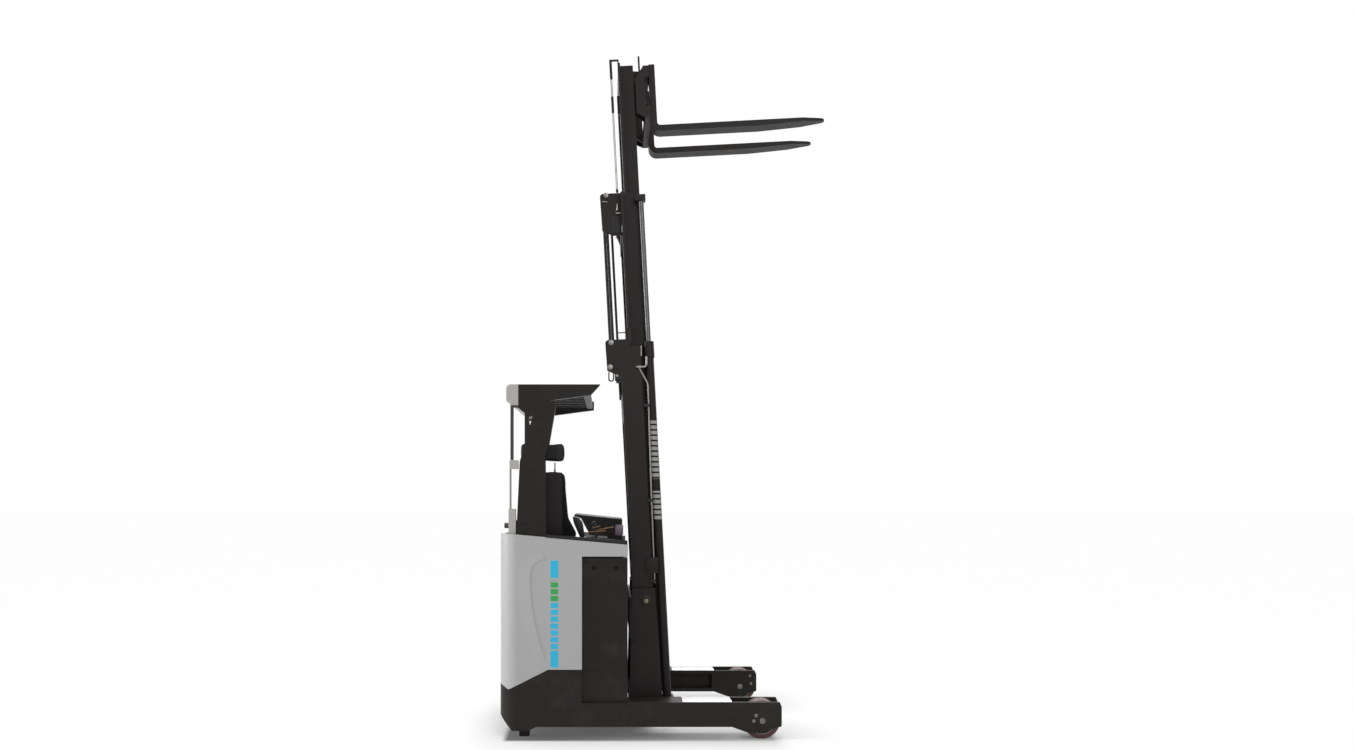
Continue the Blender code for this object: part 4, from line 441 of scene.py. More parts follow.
floor_mat = ribbed_mat()
print("mat ribs every", MAT_PITCH * 1000, "mm")

# %% Seat cover
KNIT_PITCH, KNIT_DEPTH = 0.0032, 0.0006
CLOTH_BLACK = (0.0042, 0.0042, 0.0046)


def seat_cover():
    """Woven seat cloth: a small diagonal weave with soft fading."""
    finish = Finish("seat_cloth", CLOTH_BLACK, 0.82, Sheen_Weight=0.03, Specular_IOR_Level=0.12)
    x, y, z = (finish.axis(letter) * (2.0 * math.pi / KNIT_PITCH) for letter in "XYZ")
    weave = finish.maths("SINE", x + z) * finish.maths("SINE", y + z - x)
    fading = finish.ramp(finish.noise(6.0, 5.0), 0.40, 0.75)
    faded = tuple(2.2 * c for c in CLOTH_BLACK)
    finish.set("Base Color", finish.blend(weave * 0.35 + fading * 0.35, CLOTH_BLACK, faded))
    finish.set("Roughness", 0.78 + fading * 0.12)
    finish.bump(weave, KNIT_DEPTH)
    return finish


seat_cloth = seat_cover()
seat_vinyl = moulded("seat_vinyl", (0.0045, 0.0045, 0.0045), 0.55, 420.0, 0.0005)
print("cloth pitch", KNIT_PITCH * 1000, "mm")

# %% Bars on the near lift cylinder
BAR_ROWS = ((1.690, 2.080), (1.415, 1.610))
ROW_PITCH, ROW_BAR = 0.0355, 0.66
BAR_WHITE = (0.30, 0.30, 0.29)
BARREL_SIDE = (-0.400, -0.396)


def barred_barrel():
    """Mast paint with two rows of plain pale bars on the side that faces out."""
    finish = black_paint("barred_barrel", 0.30)
    y, z = finish.axis("Y"), finish.axis("Z")
    bars = finish.between(finish.fraction(z / ROW_PITCH), 0.0, ROW_BAR, 0.02)
    rows = sum(finish.between(z, low, high) for low, high in BAR_ROWS)
    side = 1.0 - finish.ramp(y, *BARREL_SIDE)
    finish.set("Base Color", finish.blend(bars * rows * side, BLACK, BAR_WHITE))
    return finish


near_barrel = barred_barrel()
print("rows of bars at", BAR_ROWS)

# %% [markdown]
# ## Dressing the solids
#
# The frame's solids already have the right shape. Their edges are perfectly sharp, though, and a
# sharp edge catches no light. A small bevel on every edge of a copy would double the work, so the
# solids keep their meshes and get modifiers instead: weld the loose triangles, then round the edges.

# %% Weld and soften a solid
WELD_WITHIN = 0.00002
EDGE_ROUND = 0.0016
EDGE_ANGLE = math.radians(35.0)
FLAT_WEIGHT = 60


def dress(names, finish):
    """Give solids a finish, weld their triangles, round their edges and count them."""
    for name in names:
        node = nodes[name]
        for place in node.material_slots:
            place.material = finish.material
        node.data.shade_smooth()
        node.modifiers.new("weld", "WELD").merge_threshold = WELD_WITHIN
        soften = node.modifiers.new("soften", "BEVEL")
        soften.width = EDGE_ROUND
        soften.segments = 2
        soften.limit_method = "ANGLE"
        soften.angle_limit = EDGE_ANGLE
        soften.harden_normals = True
        node.modifiers.new("flat", "WEIGHTED_NORMAL").weight = FLAT_WEIGHT
    return len(names)


# %% A finish for every solid
DRESSES = (
    (frame_black, "black_paint",
     ("chassis_frame", "leg_left", "leg_right", "drive_motor", "drive_turret", "reach_barrel")),
    (mast_black, "black_paint",
     ("guard_pillar", "guard_roof", "outer_mast", "mid_mast", "inner_mast", "fork_carriage",
      "reach_frame", "lift_barrel_left", "free_lift_barrel", "tilt_barrels")),
    (near_barrel, "black_paint", ("lift_barrel_right",)),
    (battery_black, "battery_case", ("battery",)),
    (panel_grey, "grey_panel", ("panel_left", "panel_right", "rear_cover")),
    (rear_post, "grey_panel", ("guard_rear_frame",)),
    (hub_steel, "steel",
     ("load_hub_left", "load_hub_right", "drive_hub", "load_axle_left", "load_axle_right")),
    (seat_black, "steel", ("seat_frame",)),
    (hose_rubber, "hose_rubber", ("mast_hoses",)),
    (wheel_ring, "wheel_tyre", ("load_tyre_left", "load_tyre_right", "drive_tyre")),
    (lift_chain, "chrome_rod", ("free_lift_rod",)),
    (rod_chrome, "chrome_rod",
     ("lift_rod_left", "lift_rod_right", "reach_rod", "tilt_rod_left", "tilt_rod_right")),
    (black_moulding, "black_plastic",
     ("console", "control_levers", "steering_pod", "steering_wheel", "seat_box")),
    (floor_mat, "floor_rubber", ("floor_plate",)),
    (frame_black, "fork_steel", ("fork_left", "fork_right")),
)
for finish, slot, names in DRESSES:
    print(slot, dress(names, finish))

# %% [markdown]
# ## Studio
#
# The truck stands on a white sweep under big soft lamps. White is easy to overdo: with too much light
# the grey panels would lose their tone. So the lamps stay at a plain level, and the background turns
# white only where the camera sees it, directly, off a polished face or through glass. Near the truck
# the floor keeps its own shading. Lamps as large as these leave only a weak shadow there, so the floor
# is also painted darker right under the body and the legs, and most of all under the rear.

# %% Floor
FLOOR_SIZE = 120.0
FLOOR_TONE = (0.93, 0.93, 0.925)
UNDER_SHADE = (0.06, 0.06, 0.058)
BODY_PRINT = ((truck_x(0.06), truck_x(0.86)), (0.0, 0.625))
LEG_PRINT = ((truck_x(0.80), truck_x(1.76)), (0.47, 0.625))
PRINT_SOFT = 0.05
FADE_X, FADE_SHARE = (-0.9, 0.9), 0.75
NEAR_WHITE, FAR_WHITE = 0.10, 0.97
WHITE_FROM, WHITE_REACH = 0.02, 0.55


def seen(tree):
    """A socket that is one for rays from the camera, off a polished face or through glass."""
    paths = tree.nodes.new("ShaderNodeLightPath")
    shown = paths.outputs["Is Camera Ray"]
    for kind in ("Is Glossy Ray", "Is Transmission Ray"):
        either = tree.nodes.new("ShaderNodeMath")
        either.operation = "MAXIMUM"
        tree.links.new(shown, either.inputs[0])
        tree.links.new(paths.outputs[kind], either.inputs[1])
        shown = either.outputs[0]
    return shown


def outside(finish, place, bounds):
    """Distance on the floor from a rectangle that lies evenly on both sides of the truck."""
    squares = 0.0
    for value, (low, high) in zip(place, bounds):
        off = finish.maths("ABSOLUTE", value - (low + high) / 2) - (high - low) / 2
        off = finish.maths("MAXIMUM", off, 0.0)
        squares = squares + off * off
    return finish.maths("SQRT", squares)


def studio_white():
    """White that keeps its shading near the truck and is darker right under it."""
    finish = Finish("studio_white", FLOOR_TONE, 0.9)
    along = finish.axis("X")
    place = (along, finish.maths("ABSOLUTE", finish.axis("Y")))
    off = finish.maths("MINIMUM", *(outside(finish, place, p) for p in (BODY_PRINT, LEG_PRINT)))
    under = 1.0 - finish.ramp(off, 0.0, PRINT_SOFT)
    under = under * (1.0 - finish.ramp(along, *FADE_X) * FADE_SHARE)
    finish.set("Base Color", finish.blend(under, FLOOR_TONE, UNDER_SHADE))
    whiteness = NEAR_WHITE + finish.ramp(off, WHITE_FROM, WHITE_REACH) * (FAR_WHITE - NEAR_WHITE)
    surface = Wire(finish, finish.shader.outputs["BSDF"])
    glow = finish.add("ShaderNodeEmission", {}, {"Color": (1.0, 1.0, 1.0, 1.0), "Strength": 1.0})
    mixed = finish.add("ShaderNodeMixShader", {},
                       {0: Wire(finish, seen(finish.tree)) * whiteness, 1: surface, 2: glow})
    finish.feed(finish.tree.nodes["Material Output"], "Surface", mixed)
    return finish


bpy.ops.mesh.primitive_plane_add(size=FLOOR_SIZE, location=(0.0, 0.0, 0.0))
sweep = bpy.context.object
sweep.name = "studio_floor"
sweep.data.materials.append(studio_white().material)
print("floor", FLOOR_SIZE, "m wide, darker print", PRINT_SOFT, "m soft")

# %% World
WORLD_LEVEL = 0.50

world = bpy.data.worlds.new("studio_world")
bpy.context.scene.world = world
world.use_nodes = True
sky = world.node_tree
sky.nodes.clear()
ambient = sky.nodes.new("ShaderNodeBackground")
ambient.inputs["Strength"].default_value = WORLD_LEVEL
white = sky.nodes.new("ShaderNodeBackground")
white.inputs["Color"].default_value = (1.0, 1.0, 1.0, 1.0)
choose = sky.nodes.new("ShaderNodeMixShader")
out = sky.nodes.new("ShaderNodeOutputWorld")
for index, source in enumerate((seen(sky), ambient.outputs[0], white.outputs[0])):
    sky.links.new(source, choose.inputs[index])
sky.links.new(choose.outputs[0], out.inputs["Surface"])
print("world level", WORLD_LEVEL)

# %% Lamps
LAMPS = (
    # name, place, size in metres, power in watts
    ("key", (-9.0, -1.6, 3.6), 4.0, 700.0),
    ("fill", (2.0, -7.5, 5.0), 5.0, 200.0),
    ("rim", (1.5, 6.5, 6.0), 5.0, 240.0),
    ("top", (0.0, 0.0, 9.0), 6.0, 220.0),
)
AIM = Vector((0.0, 0.0, 1.8))
for name, place, size, power in LAMPS:
    bpy.ops.object.light_add(type="AREA", location=place)
    lamp = bpy.context.object
    lamp.name = "lamp_" + name
    lamp.data.size = size
    lamp.data.energy = power
    lamp.rotation_euler = (AIM - Vector(place)).to_track_quat("-Z", "Y").to_euler()
    print(lamp.name, power, "W")

bpy.context.scene.view_settings.view_transform = "Standard"

# %% [markdown]
# ## The seat
#
# A truck seat is foam under a tight sewn cover. It has no flat face and no sharp edge: foam pushes the
# cover out until the seams stop it. A box with bevels looks hard, so each pad starts as a shrunken copy
# of its solid, is remeshed, and is then blown up a little as cloth under pressure. The seams are
# pressed in afterwards, because the remesh would swallow them.

# %% Select and edit
def only(obj):
    """Select one object and make it active."""
    bpy.ops.object.select_all(action="DESELECT")
    obj.select_set(True)
    bpy.context.view_layer.objects.active = obj


def edit_all():
    bpy.ops.object.mode_set(mode="EDIT")
    bpy.ops.mesh.select_all(action="SELECT")


# %% Blow up a pad
VOXEL = 0.006
ROUNDINGS = 14
PAD_WELD = 0.0001
PAD_PRESSURE = 4.0
PAD_FRAMES = 20
COVER_STRETCH, COVER_BEND = 18.0, 0.4


def pad_from(node_name, shrink):
    """A rounded, remeshed copy of a soft solid, shrunk about its middle."""
    low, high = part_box(node_name)
    middle = (low + high) / 2
    piece = bpy.data.objects.new(node_name + "_pad", nodes[node_name].data.copy())
    bpy.context.scene.collection.objects.link(piece)
    piece.data.materials.clear()
    scale = Matrix.Diagonal((*(1.0 - shrink / size * 2 for size in high - low), 1.0))
    piece.data.transform(Matrix.Translation(middle) @ scale @ Matrix.Translation(-middle))
    only(piece)
    edit_all()
    bpy.ops.mesh.remove_doubles(threshold=PAD_WELD)
    bpy.ops.mesh.normals_make_consistent(inside=False)
    bpy.ops.object.mode_set(mode="OBJECT")
    remesh = piece.modifiers.new("voxels", "REMESH")
    remesh.mode = "VOXEL"
    remesh.voxel_size = VOXEL
    rounding = piece.modifiers.new("rounding", "SMOOTH")
    rounding.iterations = ROUNDINGS
    bpy.ops.object.modifier_apply(modifier="voxels")
    bpy.ops.object.modifier_apply(modifier="rounding")
    return piece


def blow_up(piece, cap):
    """Run the cover as cloth under pressure, and let no point move further than the cap."""
    rest = [v.co.copy() for v in piece.data.vertices]
    cloth = piece.modifiers.new("cloth", "CLOTH")
    cloth.settings.use_pressure = True
    cloth.settings.uniform_pressure_force = PAD_PRESSURE
    cloth.settings.effector_weights.gravity = 0.0
    cloth.settings.quality = 5
    cloth.settings.tension_stiffness = COVER_STRETCH
    cloth.settings.bending_stiffness = COVER_BEND
    scene = bpy.context.scene
    for number in range(1, PAD_FRAMES + 1):
        scene.frame_set(number)
    only(piece)
    bpy.ops.object.modifier_apply(modifier="cloth")
    scene.frame_set(1)
    for vertex, start in zip(piece.data.vertices, rest):
        step = vertex.co - start
        if step.length > cap:
            vertex.co = start + step * (cap / step.length)
    return piece


FACES_IT = 0.35


def press_seam(piece, axis, place, half_width, depth, facing=None):
    """Press a sewn line into the pad where it crosses one plane."""
    normals = [v.normal.copy() for v in piece.data.vertices]
    for vertex, normal in zip(piece.data.vertices, normals):
        off = abs(vertex.co[axis] - place) / half_width
        if off < 1.0 and (facing is None or normal.dot(facing) > FACES_IT):
            vertex.co -= normal * depth * (1.0 - off * off) ** 2


def finish_pad(piece, node_name, finish):
    """Subdivide, shade and dress a pad, hang it on the chassis and hide the soft solid it stands for.
    """
    only(piece)
    piece.modifiers.new("fine", "SUBSURF").levels = 1
    bpy.ops.object.modifier_apply(modifier="fine")
    bpy.ops.object.shade_smooth()
    piece.data.materials.append(finish.material)
    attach(piece, "chassis")
    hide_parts(node_name)
    low, high = (Vector(piece.bound_box[0]), Vector(piece.bound_box[6]))
    print(piece.name, len(piece.data.polygons), "faces", [round(v, 3) for v in high - low])


# %% Cushion, back and headrest
UP = Vector((0.0, 0.0, 1.0))
FRONT = Vector((0.0, 1.0, 0.0))
BOLSTER = 0.085
SEAM_HALF, SEAM_DEPTH = 0.011, 0.008
CROSS_HALF, CROSS_DEPTH = SEAM_HALF * 0.8, 0.005
PIPING_DROP, PIPING_HALF, PIPING_DEPTH = 0.035, 0.006, 0.003


def sewn_pad(node_name, give, facing, axis, crossings):
    """A blown up pad with a seam along each bolster and some seams across."""
    low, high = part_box(node_name)
    pad = blow_up(pad_from(node_name, give), give)
    for x in (low.x + BOLSTER, high.x - BOLSTER):
        press_seam(pad, 0, x, SEAM_HALF, SEAM_DEPTH, facing)
    for run in crossings:
        press_seam(pad, axis, low[axis] + run, CROSS_HALF, CROSS_DEPTH, facing)
    return pad


cushion = sewn_pad("seat_cushion", 0.010, UP, 1, (0.15, 0.29))
cushion_low, cushion_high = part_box("seat_cushion")
press_seam(cushion, 2, cushion_high.z - PIPING_DROP, PIPING_HALF, PIPING_DEPTH)
finish_pad(cushion, "seat_cushion", seat_cloth)

back = sewn_pad("seat_back", 0.009, FRONT, 2, (0.20, 0.36, 0.52))
finish_pad(back, "seat_back", seat_cloth)

headrest = blow_up(pad_from("headrest", 0.007), 0.007)
finish_pad(headrest, "headrest", seat_vinyl)

# %% [markdown]
# ## Small fittings
#
# From a step away a machine is read by its small parts: bolt heads, pipes, pins, trim. The bolt is
# modelled once and copied. The mast leans back by three degrees, so its fittings are drawn in the
# mast's own upright frame and leant over at the end, the way a draughtsman would do it.

# %% Helpers for hard pieces
SMOOTH_ANGLE = math.radians(32.0)
LEAN_ANGLE = math.radians(3.0)
PIVOT = (0.959, 0.878)
LEAN = (Matrix.Translation((truck_x(PIVOT[0]), 0.0, PIVOT[1]))
        @ Matrix.Rotation(-LEAN_ANGLE, 4, "Y"))
UPRIGHT = Matrix.Translation((truck_x(0.0), 0.0, 0.0))
ARC_STEPS, PIPE_SIDES = 5, 5


def block(low, high, edge=0.002):
    """A block between two corners with every edge rounded."""
    low, high = Vector(low), Vector(high)
    bpy.ops.object.select_all(action="DESELECT")
    bpy.ops.mesh.primitive_cube_add(size=1.0, location=(low + high) / 2, scale=high - low)
    bpy.ops.object.transform_apply(location=False, rotation=False, scale=True)
    edit_all()
    bpy.ops.mesh.bevel(offset=edge, segments=2, affect="EDGES")
    bpy.ops.object.mode_set(mode="OBJECT")
    return bpy.context.object


def turned(start, end, radius, sides=24, edge=0.001):
    """A round bar between two points with both rims broken."""
    start, end = Vector(start), Vector(end)
    along = end - start
    bpy.ops.object.select_all(action="DESELECT")
    bpy.ops.mesh.primitive_cylinder_add(vertices=sides, radius=radius, depth=along.length,
                                        location=(start + end) / 2)
    bpy.context.object.rotation_euler = along.to_track_quat("Z", "Y").to_euler()
    bpy.ops.object.mode_set(mode="EDIT")
    bpy.ops.mesh.select_mode(type="FACE")
    mesh = bmesh.from_edit_mesh(bpy.context.object.data)
    for face in mesh.faces:
        face.select = abs(face.normal.z) > 0.9
    bmesh.update_edit_mesh(bpy.context.object.data)
    bpy.ops.mesh.bevel(offset=edge, segments=2, affect="EDGES")
    bpy.ops.object.mode_set(mode="OBJECT")
    return bpy.context.object


def pipe(points, radius, bend=0.02):
    """A bent pipe through corner points, each corner turned on a short arc."""
    points = [Vector(point) for point in points]
    route = [points[0]]
    for before, corner, after in zip(points, points[1:], points[2:]):
        near = corner + (before - corner).normalized() * bend
        far = corner + (after - corner).normalized() * bend
        for step in range(ARC_STEPS + 1):
            t = step / ARC_STEPS
            route.append(near * (1 - t) ** 2 + corner * 2 * t * (1 - t) + far * t ** 2)
    route.append(points[-1])
    bpy.ops.object.select_all(action="DESELECT")
    bpy.ops.curve.primitive_nurbs_path_add()
    curve = bpy.context.object
    curve.data.splines.clear()
    spline = curve.data.splines.new("POLY")
    spline.points.add(len(route) - 1)
    for point, place in zip(spline.points, route):
        point.co = (*place, 1.0)
    curve.data.bevel_depth = radius
    curve.data.bevel_resolution = PIPE_SIDES
    curve.data.use_fill_caps = True
    bpy.ops.object.convert(target="MESH")
    return bpy.context.object


def joined(pieces):
    """Make one object of several."""
    only(pieces[0])
    for piece in pieces:
        piece.select_set(True)
    if len(pieces) > 1:
        bpy.ops.object.join()
    return bpy.context.object


def settle(pieces, name, finish, body, frame_matrix=UPRIGHT):
    """Join pieces, put them in place, and give them a finish and a body to ride on."""
    whole = joined(pieces)
    whole.name = name
    whole.matrix_world = frame_matrix @ whole.matrix_world
    bpy.ops.object.transform_apply(location=True, rotation=True, scale=True)
    bpy.ops.object.shade_smooth_by_angle(angle=SMOOTH_ANGLE)
    whole.data.materials.clear()
    whole.data.materials.append(finish.material)
    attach(whole, body)
    print(name, len(whole.data.polygons), "faces on", body)


# %% A bolt, made once
WASHER = 0.0018
CLEAR = 0.0002
NEAR = (0.0, -1.0, 0.0)
SIDES = (-1.0, 1.0)


def bolt(radius):
    """A hexagon head on a washer that stands along +Z from the origin."""
    washer = turned((0.0, 0.0, 0.0), (0.0, 0.0, WASHER), radius * 1.4, 16, 0.0003)
    head = turned((0.0, 0.0, WASHER), (0.0, 0.0, WASHER + radius * 0.8), radius, 6, radius * 0.14)
    whole = joined([washer, head])
    bpy.ops.object.transform_apply(location=True, rotation=True, scale=True)
    return whole


def bolts(places, radius):
    """Copies of one bolt at (place, direction) pairs."""
    first = bolt(radius)
    made = []
    for place, direction in places:
        copy = bpy.data.objects.new("bolt", first.data.copy())
        bpy.context.scene.collection.objects.link(copy)
        turn = Vector(direction).to_track_quat("Z", "Y").to_matrix().to_4x4()
        copy.data.transform(Matrix.Translation(place) @ turn)
        made.append(copy)
    bpy.data.objects.remove(first)
    return made


def both_sides(spots, turn=1.0):
    """Bolt places on both sides, y as distance from the middle, heads out, or in with turn -1."""
    return [((x, sign * y, z), (0.0, sign * turn, 0.0)) for sign in SIDES for x, y, z in spots]


def side_blocks(xs, ys, zs, edge):
    """The same block on both sides, y as distance from the middle."""
    made = []
    for sign in SIDES:
        low_y, high_y = sorted(sign * y for y in ys)
        made.append(block((xs[0], low_y, zs[0]), (xs[1], high_y, zs[1]), edge))
    return made

# %% [markdown]
# ## Legs, battery and reach carriage
#
# The load wheel's axle is held by a keeper plate with two bolts. The battery has two lifting holes on
# each side, and a near-black plug in each paints the shade inside the hole. The mast hangs on two large
# pins in the reach carriage, whose ends are plated olive and locked with a bolt.

# %% Leg ends
HALF_WIDTH = 0.635
LEG_INNER = 0.460
KEEPER_X, KEEPER_Z, KEEPER_WALL = (1.634, 1.686), (0.114, 0.138), 0.004
keeper_face = HALF_WIDTH + CLEAR + KEEPER_WALL
nose_face = LEG_INNER - CLEAR

settle(side_blocks(KEEPER_X, (HALF_WIDTH + CLEAR, keeper_face), KEEPER_Z, 0.0015),
       "axle_keepers", frame_black, "chassis")
spots = ((1.646, keeper_face, 0.126), (1.662, HALF_WIDTH + CLEAR, 0.160))
settle(bolts(both_sides(spots), 0.0085), "axle_keeper_bolts", hub_steel, "chassis")
spots = ((1.778, nose_face, 0.205), (1.786, nose_face, 0.146))
settle(bolts(both_sides(spots, -1.0), 0.0075), "leg_nose_bolts", hub_steel, "chassis")

# %% Bright plates on the leg tops
LEG_TOP = 0.245
PLATE_X, PLATE_Y, PLATE_WALL = (1.190, 1.508), (0.4680, 0.6270), 0.002
settle(side_blocks(PLATE_X, PLATE_Y, (LEG_TOP + CLEAR, LEG_TOP + CLEAR + PLATE_WALL), 0.0008),
       "leg_top_plates", plate_steel, "chassis")

# %% Battery lifting holes
BATTERY_FACE = 0.6115
EYES, EYE_Z, EYE_RADIUS = (0.615, 0.758), 1.111, 0.0150
EYE_DEPTH, EYE_RIM = 0.006, 0.0006
# A near-black plug in each lifting hole paints the shade inside it.
pieces = [turned((x, sign * (BATTERY_FACE - EYE_DEPTH), EYE_Z),
                 (x, sign * (BATTERY_FACE + EYE_RIM), EYE_Z), EYE_RADIUS, 24, 0.0008)
          for sign in SIDES for x in EYES]
settle(pieces, "battery_eye_shade", painted_hole_shade, "chassis")

# %% Pins and bolts of the reach carriage
PLATE_FACE = 0.443
PIN_STEPS = ((0.031, 0.006), (0.022, 0.011))
pieces = [turned((PIVOT[0], sign * (PLATE_FACE + 0.0003), PIVOT[1]),
                 (PIVOT[0], sign * (PLATE_FACE + out), PIVOT[1]), radius, 32, 0.0015)
          for sign in SIDES for radius, out in PIN_STEPS]
settle(pieces, "mast_pin_ends", olive_zinc, "mast_carriage")
spots = ((PIVOT[0], PLATE_FACE + PIN_STEPS[1][1], PIVOT[1]),)
settle(bolts(both_sides(spots), 0.011), "mast_pin_bolts", olive_zinc, "mast_carriage")
spots = [(x, PLATE_FACE + CLEAR, z) for x, z in ((0.887, 0.925), (1.000, 0.925), (0.880, 0.330),
                                                 (1.010, 0.330), (0.885, 0.610))]
settle(bolts(both_sides(spots), 0.0075), "carriage_bolts", mast_black,
       "mast_carriage")

# %% [markdown]
# ## Pipes and blocks on the mast
#
# The lift cylinders are fed by a plated pipe that slants off the hose bracket and runs down between
# the rail and the cylinder, held by three clamps. The brackets carry bolts, a hose ring, a valve block
# and pale fittings. Two thin lines hang from a hook over the top of the inner stage.

# %% Feed pipe of the outer stage
OUTER_FACE = -0.420
PIPE_Y = OUTER_FACE - 0.0075
SEATED = 0.0003

route = [(0.029, PIPE_Y, 1.566), (0.0886, PIPE_Y, 1.442)]
route += [(lx, PIPE_Y + 0.003, lz) for lx, lz in ((0.0830, 1.20), (0.072, 0.667), (0.0635, 0.115))]
settle([pipe(route, 0.0058, 0.018)], "lift_feed_pipe", zinc_pipe, "outer_stage", LEAN)
pieces = [block((lx - 0.030, OUTER_FACE - 0.013, lz - 0.011),
                (lx + 0.010, OUTER_FACE - SEATED, lz + 0.011), 0.002)
          for lx, lz in ((0.0845, 1.300), (0.0720, 0.667), (0.0640, 0.130))]
settle(pieces, "feed_pipe_clamps", black_moulding, "outer_stage", LEAN)
pieces = [block((0.012, OUTER_FACE - 0.014, 0.180), (0.094, OUTER_FACE - SEATED, 0.286), 0.002)]
settle(pieces, "feed_pipe_cover", mast_black, "outer_stage", LEAN)


# %% Fittings on the outer bracket
def on_mast(forward, up, y):
    """A place of the truck's side view in mast coordinates, y metres to the side."""
    dx, dz = forward - PIVOT[0], up - PIVOT[1]
    c, s = math.cos(LEAN_ANGLE), math.sin(LEAN_ANGLE)
    return dx * c + dz * s, y, dz * c - dx * s


ELBOW = ((0.893, 2.436), (0.952, 2.436), (0.963, 2.452), (0.962, 2.505))
LINE_END = ((0.929, 2.510), (0.927, 2.580))
elbow_y, line_y = OUTER_FACE - 0.010, OUTER_FACE - 0.004
pieces = [pipe([on_mast(x, z, elbow_y) for x, z in ELBOW], 0.0078, 0.012),
          turned(on_mast(0.896, 2.436, elbow_y), on_mast(0.926, 2.436, elbow_y), 0.0105, 6, 0.001),
          pipe([on_mast(x, z, line_y) for x, z in LINE_END], 0.0032)]
settle(pieces, "gland_elbow", zinc_pipe, "outer_stage", LEAN)
places = [(on_mast(x, z, OUTER_FACE - CLEAR), NEAR) for x, z in ((0.725, 2.600), (0.719, 2.436))]
settle(bolts(places, 0.0125), "outer_bracket_bolts", zinc_pipe, "outer_stage", LEAN)

# %% Hose ring, valve and catch of the outer stage
RING = ((0.711, 2.405), (0.711, 2.344), (0.742, 2.344), (0.742, 2.405), (0.711, 2.417))
pieces = [pipe([on_mast(x, z, OUTER_FACE + 0.012) for x, z in RING], 0.0045, 0.014),
          block(on_mast(0.752, 2.345, OUTER_FACE + 0.002),
                on_mast(0.806, 2.400, OUTER_FACE + 0.034), 0.004),
          block(on_mast(0.760, 2.330, OUTER_FACE + 0.008),
                on_mast(0.790, 2.346, OUTER_FACE + 0.028), 0.002)]
settle(pieces, "hose_ring_and_valve", black_moulding, "outer_stage", LEAN)
places = [(on_mast(0.765, 2.380, OUTER_FACE + 0.0018), NEAR)]
settle(bolts(places, 0.0075), "valve_screw", zinc_pipe, "outer_stage", LEAN)

catch_y = OUTER_FACE + 0.007
pieces = [block((-0.045, OUTER_FACE + 0.0005, 1.7003), (-0.006, OUTER_FACE + 0.0135, 1.825), 0.002),
          turned((-0.098, catch_y, 1.795), (-0.044, catch_y, 1.795), 0.0035, 12),
          turned((-0.096, catch_y, 1.780), (-0.096, catch_y, 1.802), 0.0035, 12)]
settle(pieces, "outer_top_catch", mast_black, "outer_stage", LEAN)

# %% Valve and fittings on the middle bracket
MID_FACE = -0.349
VALVE_PROUD = 0.0055
FITTINGS = (((0.768, 3.500), (0.768, 3.545), 0.0065), ((0.757, 3.481), (0.797, 3.481), 0.0065),
            ((0.801, 3.352), (0.801, 3.458), 0.0035), ((0.664, 3.560), (0.700, 3.556), 0.0040))
valve_y, fitting_y = MID_FACE - 0.003, MID_FACE - 0.0072
pieces = [block(on_mast(0.728, 3.346, MID_FACE - VALVE_PROUD),
                on_mast(0.797, 3.464, MID_FACE - SEATED), 0.0015),
          turned(on_mast(0.755, 3.318, valve_y), on_mast(0.800, 3.314, valve_y), 0.003, 12)]
settle(pieces, "middle_valve", black_moulding, "middle_stage", LEAN)
pieces = [turned(on_mast(*start, fitting_y), on_mast(*end, fitting_y), radius, 12)
          for start, end, radius in FITTINGS]
settle(pieces, "middle_fittings", zinc_pipe, "middle_stage", LEAN)
places = [(on_mast(0.6905, 3.606, MID_FACE - CLEAR), NEAR)]
settle(bolts(places, 0.0115), "middle_bracket_bolt", zinc_pipe, "middle_stage", LEAN)

# %% Lines of the inner stage
LINE_Y, LINE_HALF = -0.247, 0.0095
HOOK_LOW, HOOK_TOP = 3.6835, 3.6912
# two opposite corners in x and z, and the rounding of the edges: the hook's front leg, its bridge
# over the mast, its rear leg, and the two clips on the lines
HOOK = (((0.0015, 3.6300), (0.0105, HOOK_TOP), 0.0015),
        ((-0.0540, HOOK_LOW), (0.0105, HOOK_TOP), 0.0015),
        ((-0.0540, 3.5620), (-0.0362, HOOK_TOP), 0.0015),
        ((-0.0545, 3.3300), (-0.0370, 3.4400), 0.0030),
        ((-0.0540, 2.7830), (-0.0375, 2.8050), 0.0030))
pieces = [block((low[0], LINE_Y - LINE_HALF, low[1]), (high[0], LINE_Y + LINE_HALF, high[1]), edge)
          for low, high, edge in HOOK]
settle(pieces, "inner_line_hook", black_moulding, "inner_stage", LEAN)
pieces = [pipe([(lx, LINE_Y, 3.563), (lx, LINE_Y, 2.790)], 0.0026) for lx in (-0.0500, -0.0420)]
settle(pieces, "inner_lines", zinc_pipe, "inner_stage", LEAN)
pieces = [block((-0.014, LINE_Y - 0.012, 3.320), (0.0008, LINE_Y + 0.012, 3.440), 0.002)]
settle(pieces, "inner_rear_tab", mast_black, "inner_stage", LEAN)

# %% [markdown]
# ## Console, panel trim and the pressed line
#
# A rubber strip caps the panel's top edge. Tan streaks on the hood over the levers are painted warm
# reflections, and its front end is a smoky lilac plastic. The grey panel has one pressed line that
# starts high and sweeps down: the sheet rises gently towards it and drops off sharply behind it.

# %% Capping strip
CAP = ((0.306, 1.3075), (0.832, 1.2625))
CAP_Y = (-0.6345, -0.606)
CAP_HEIGHT = (0.020, 0.026)


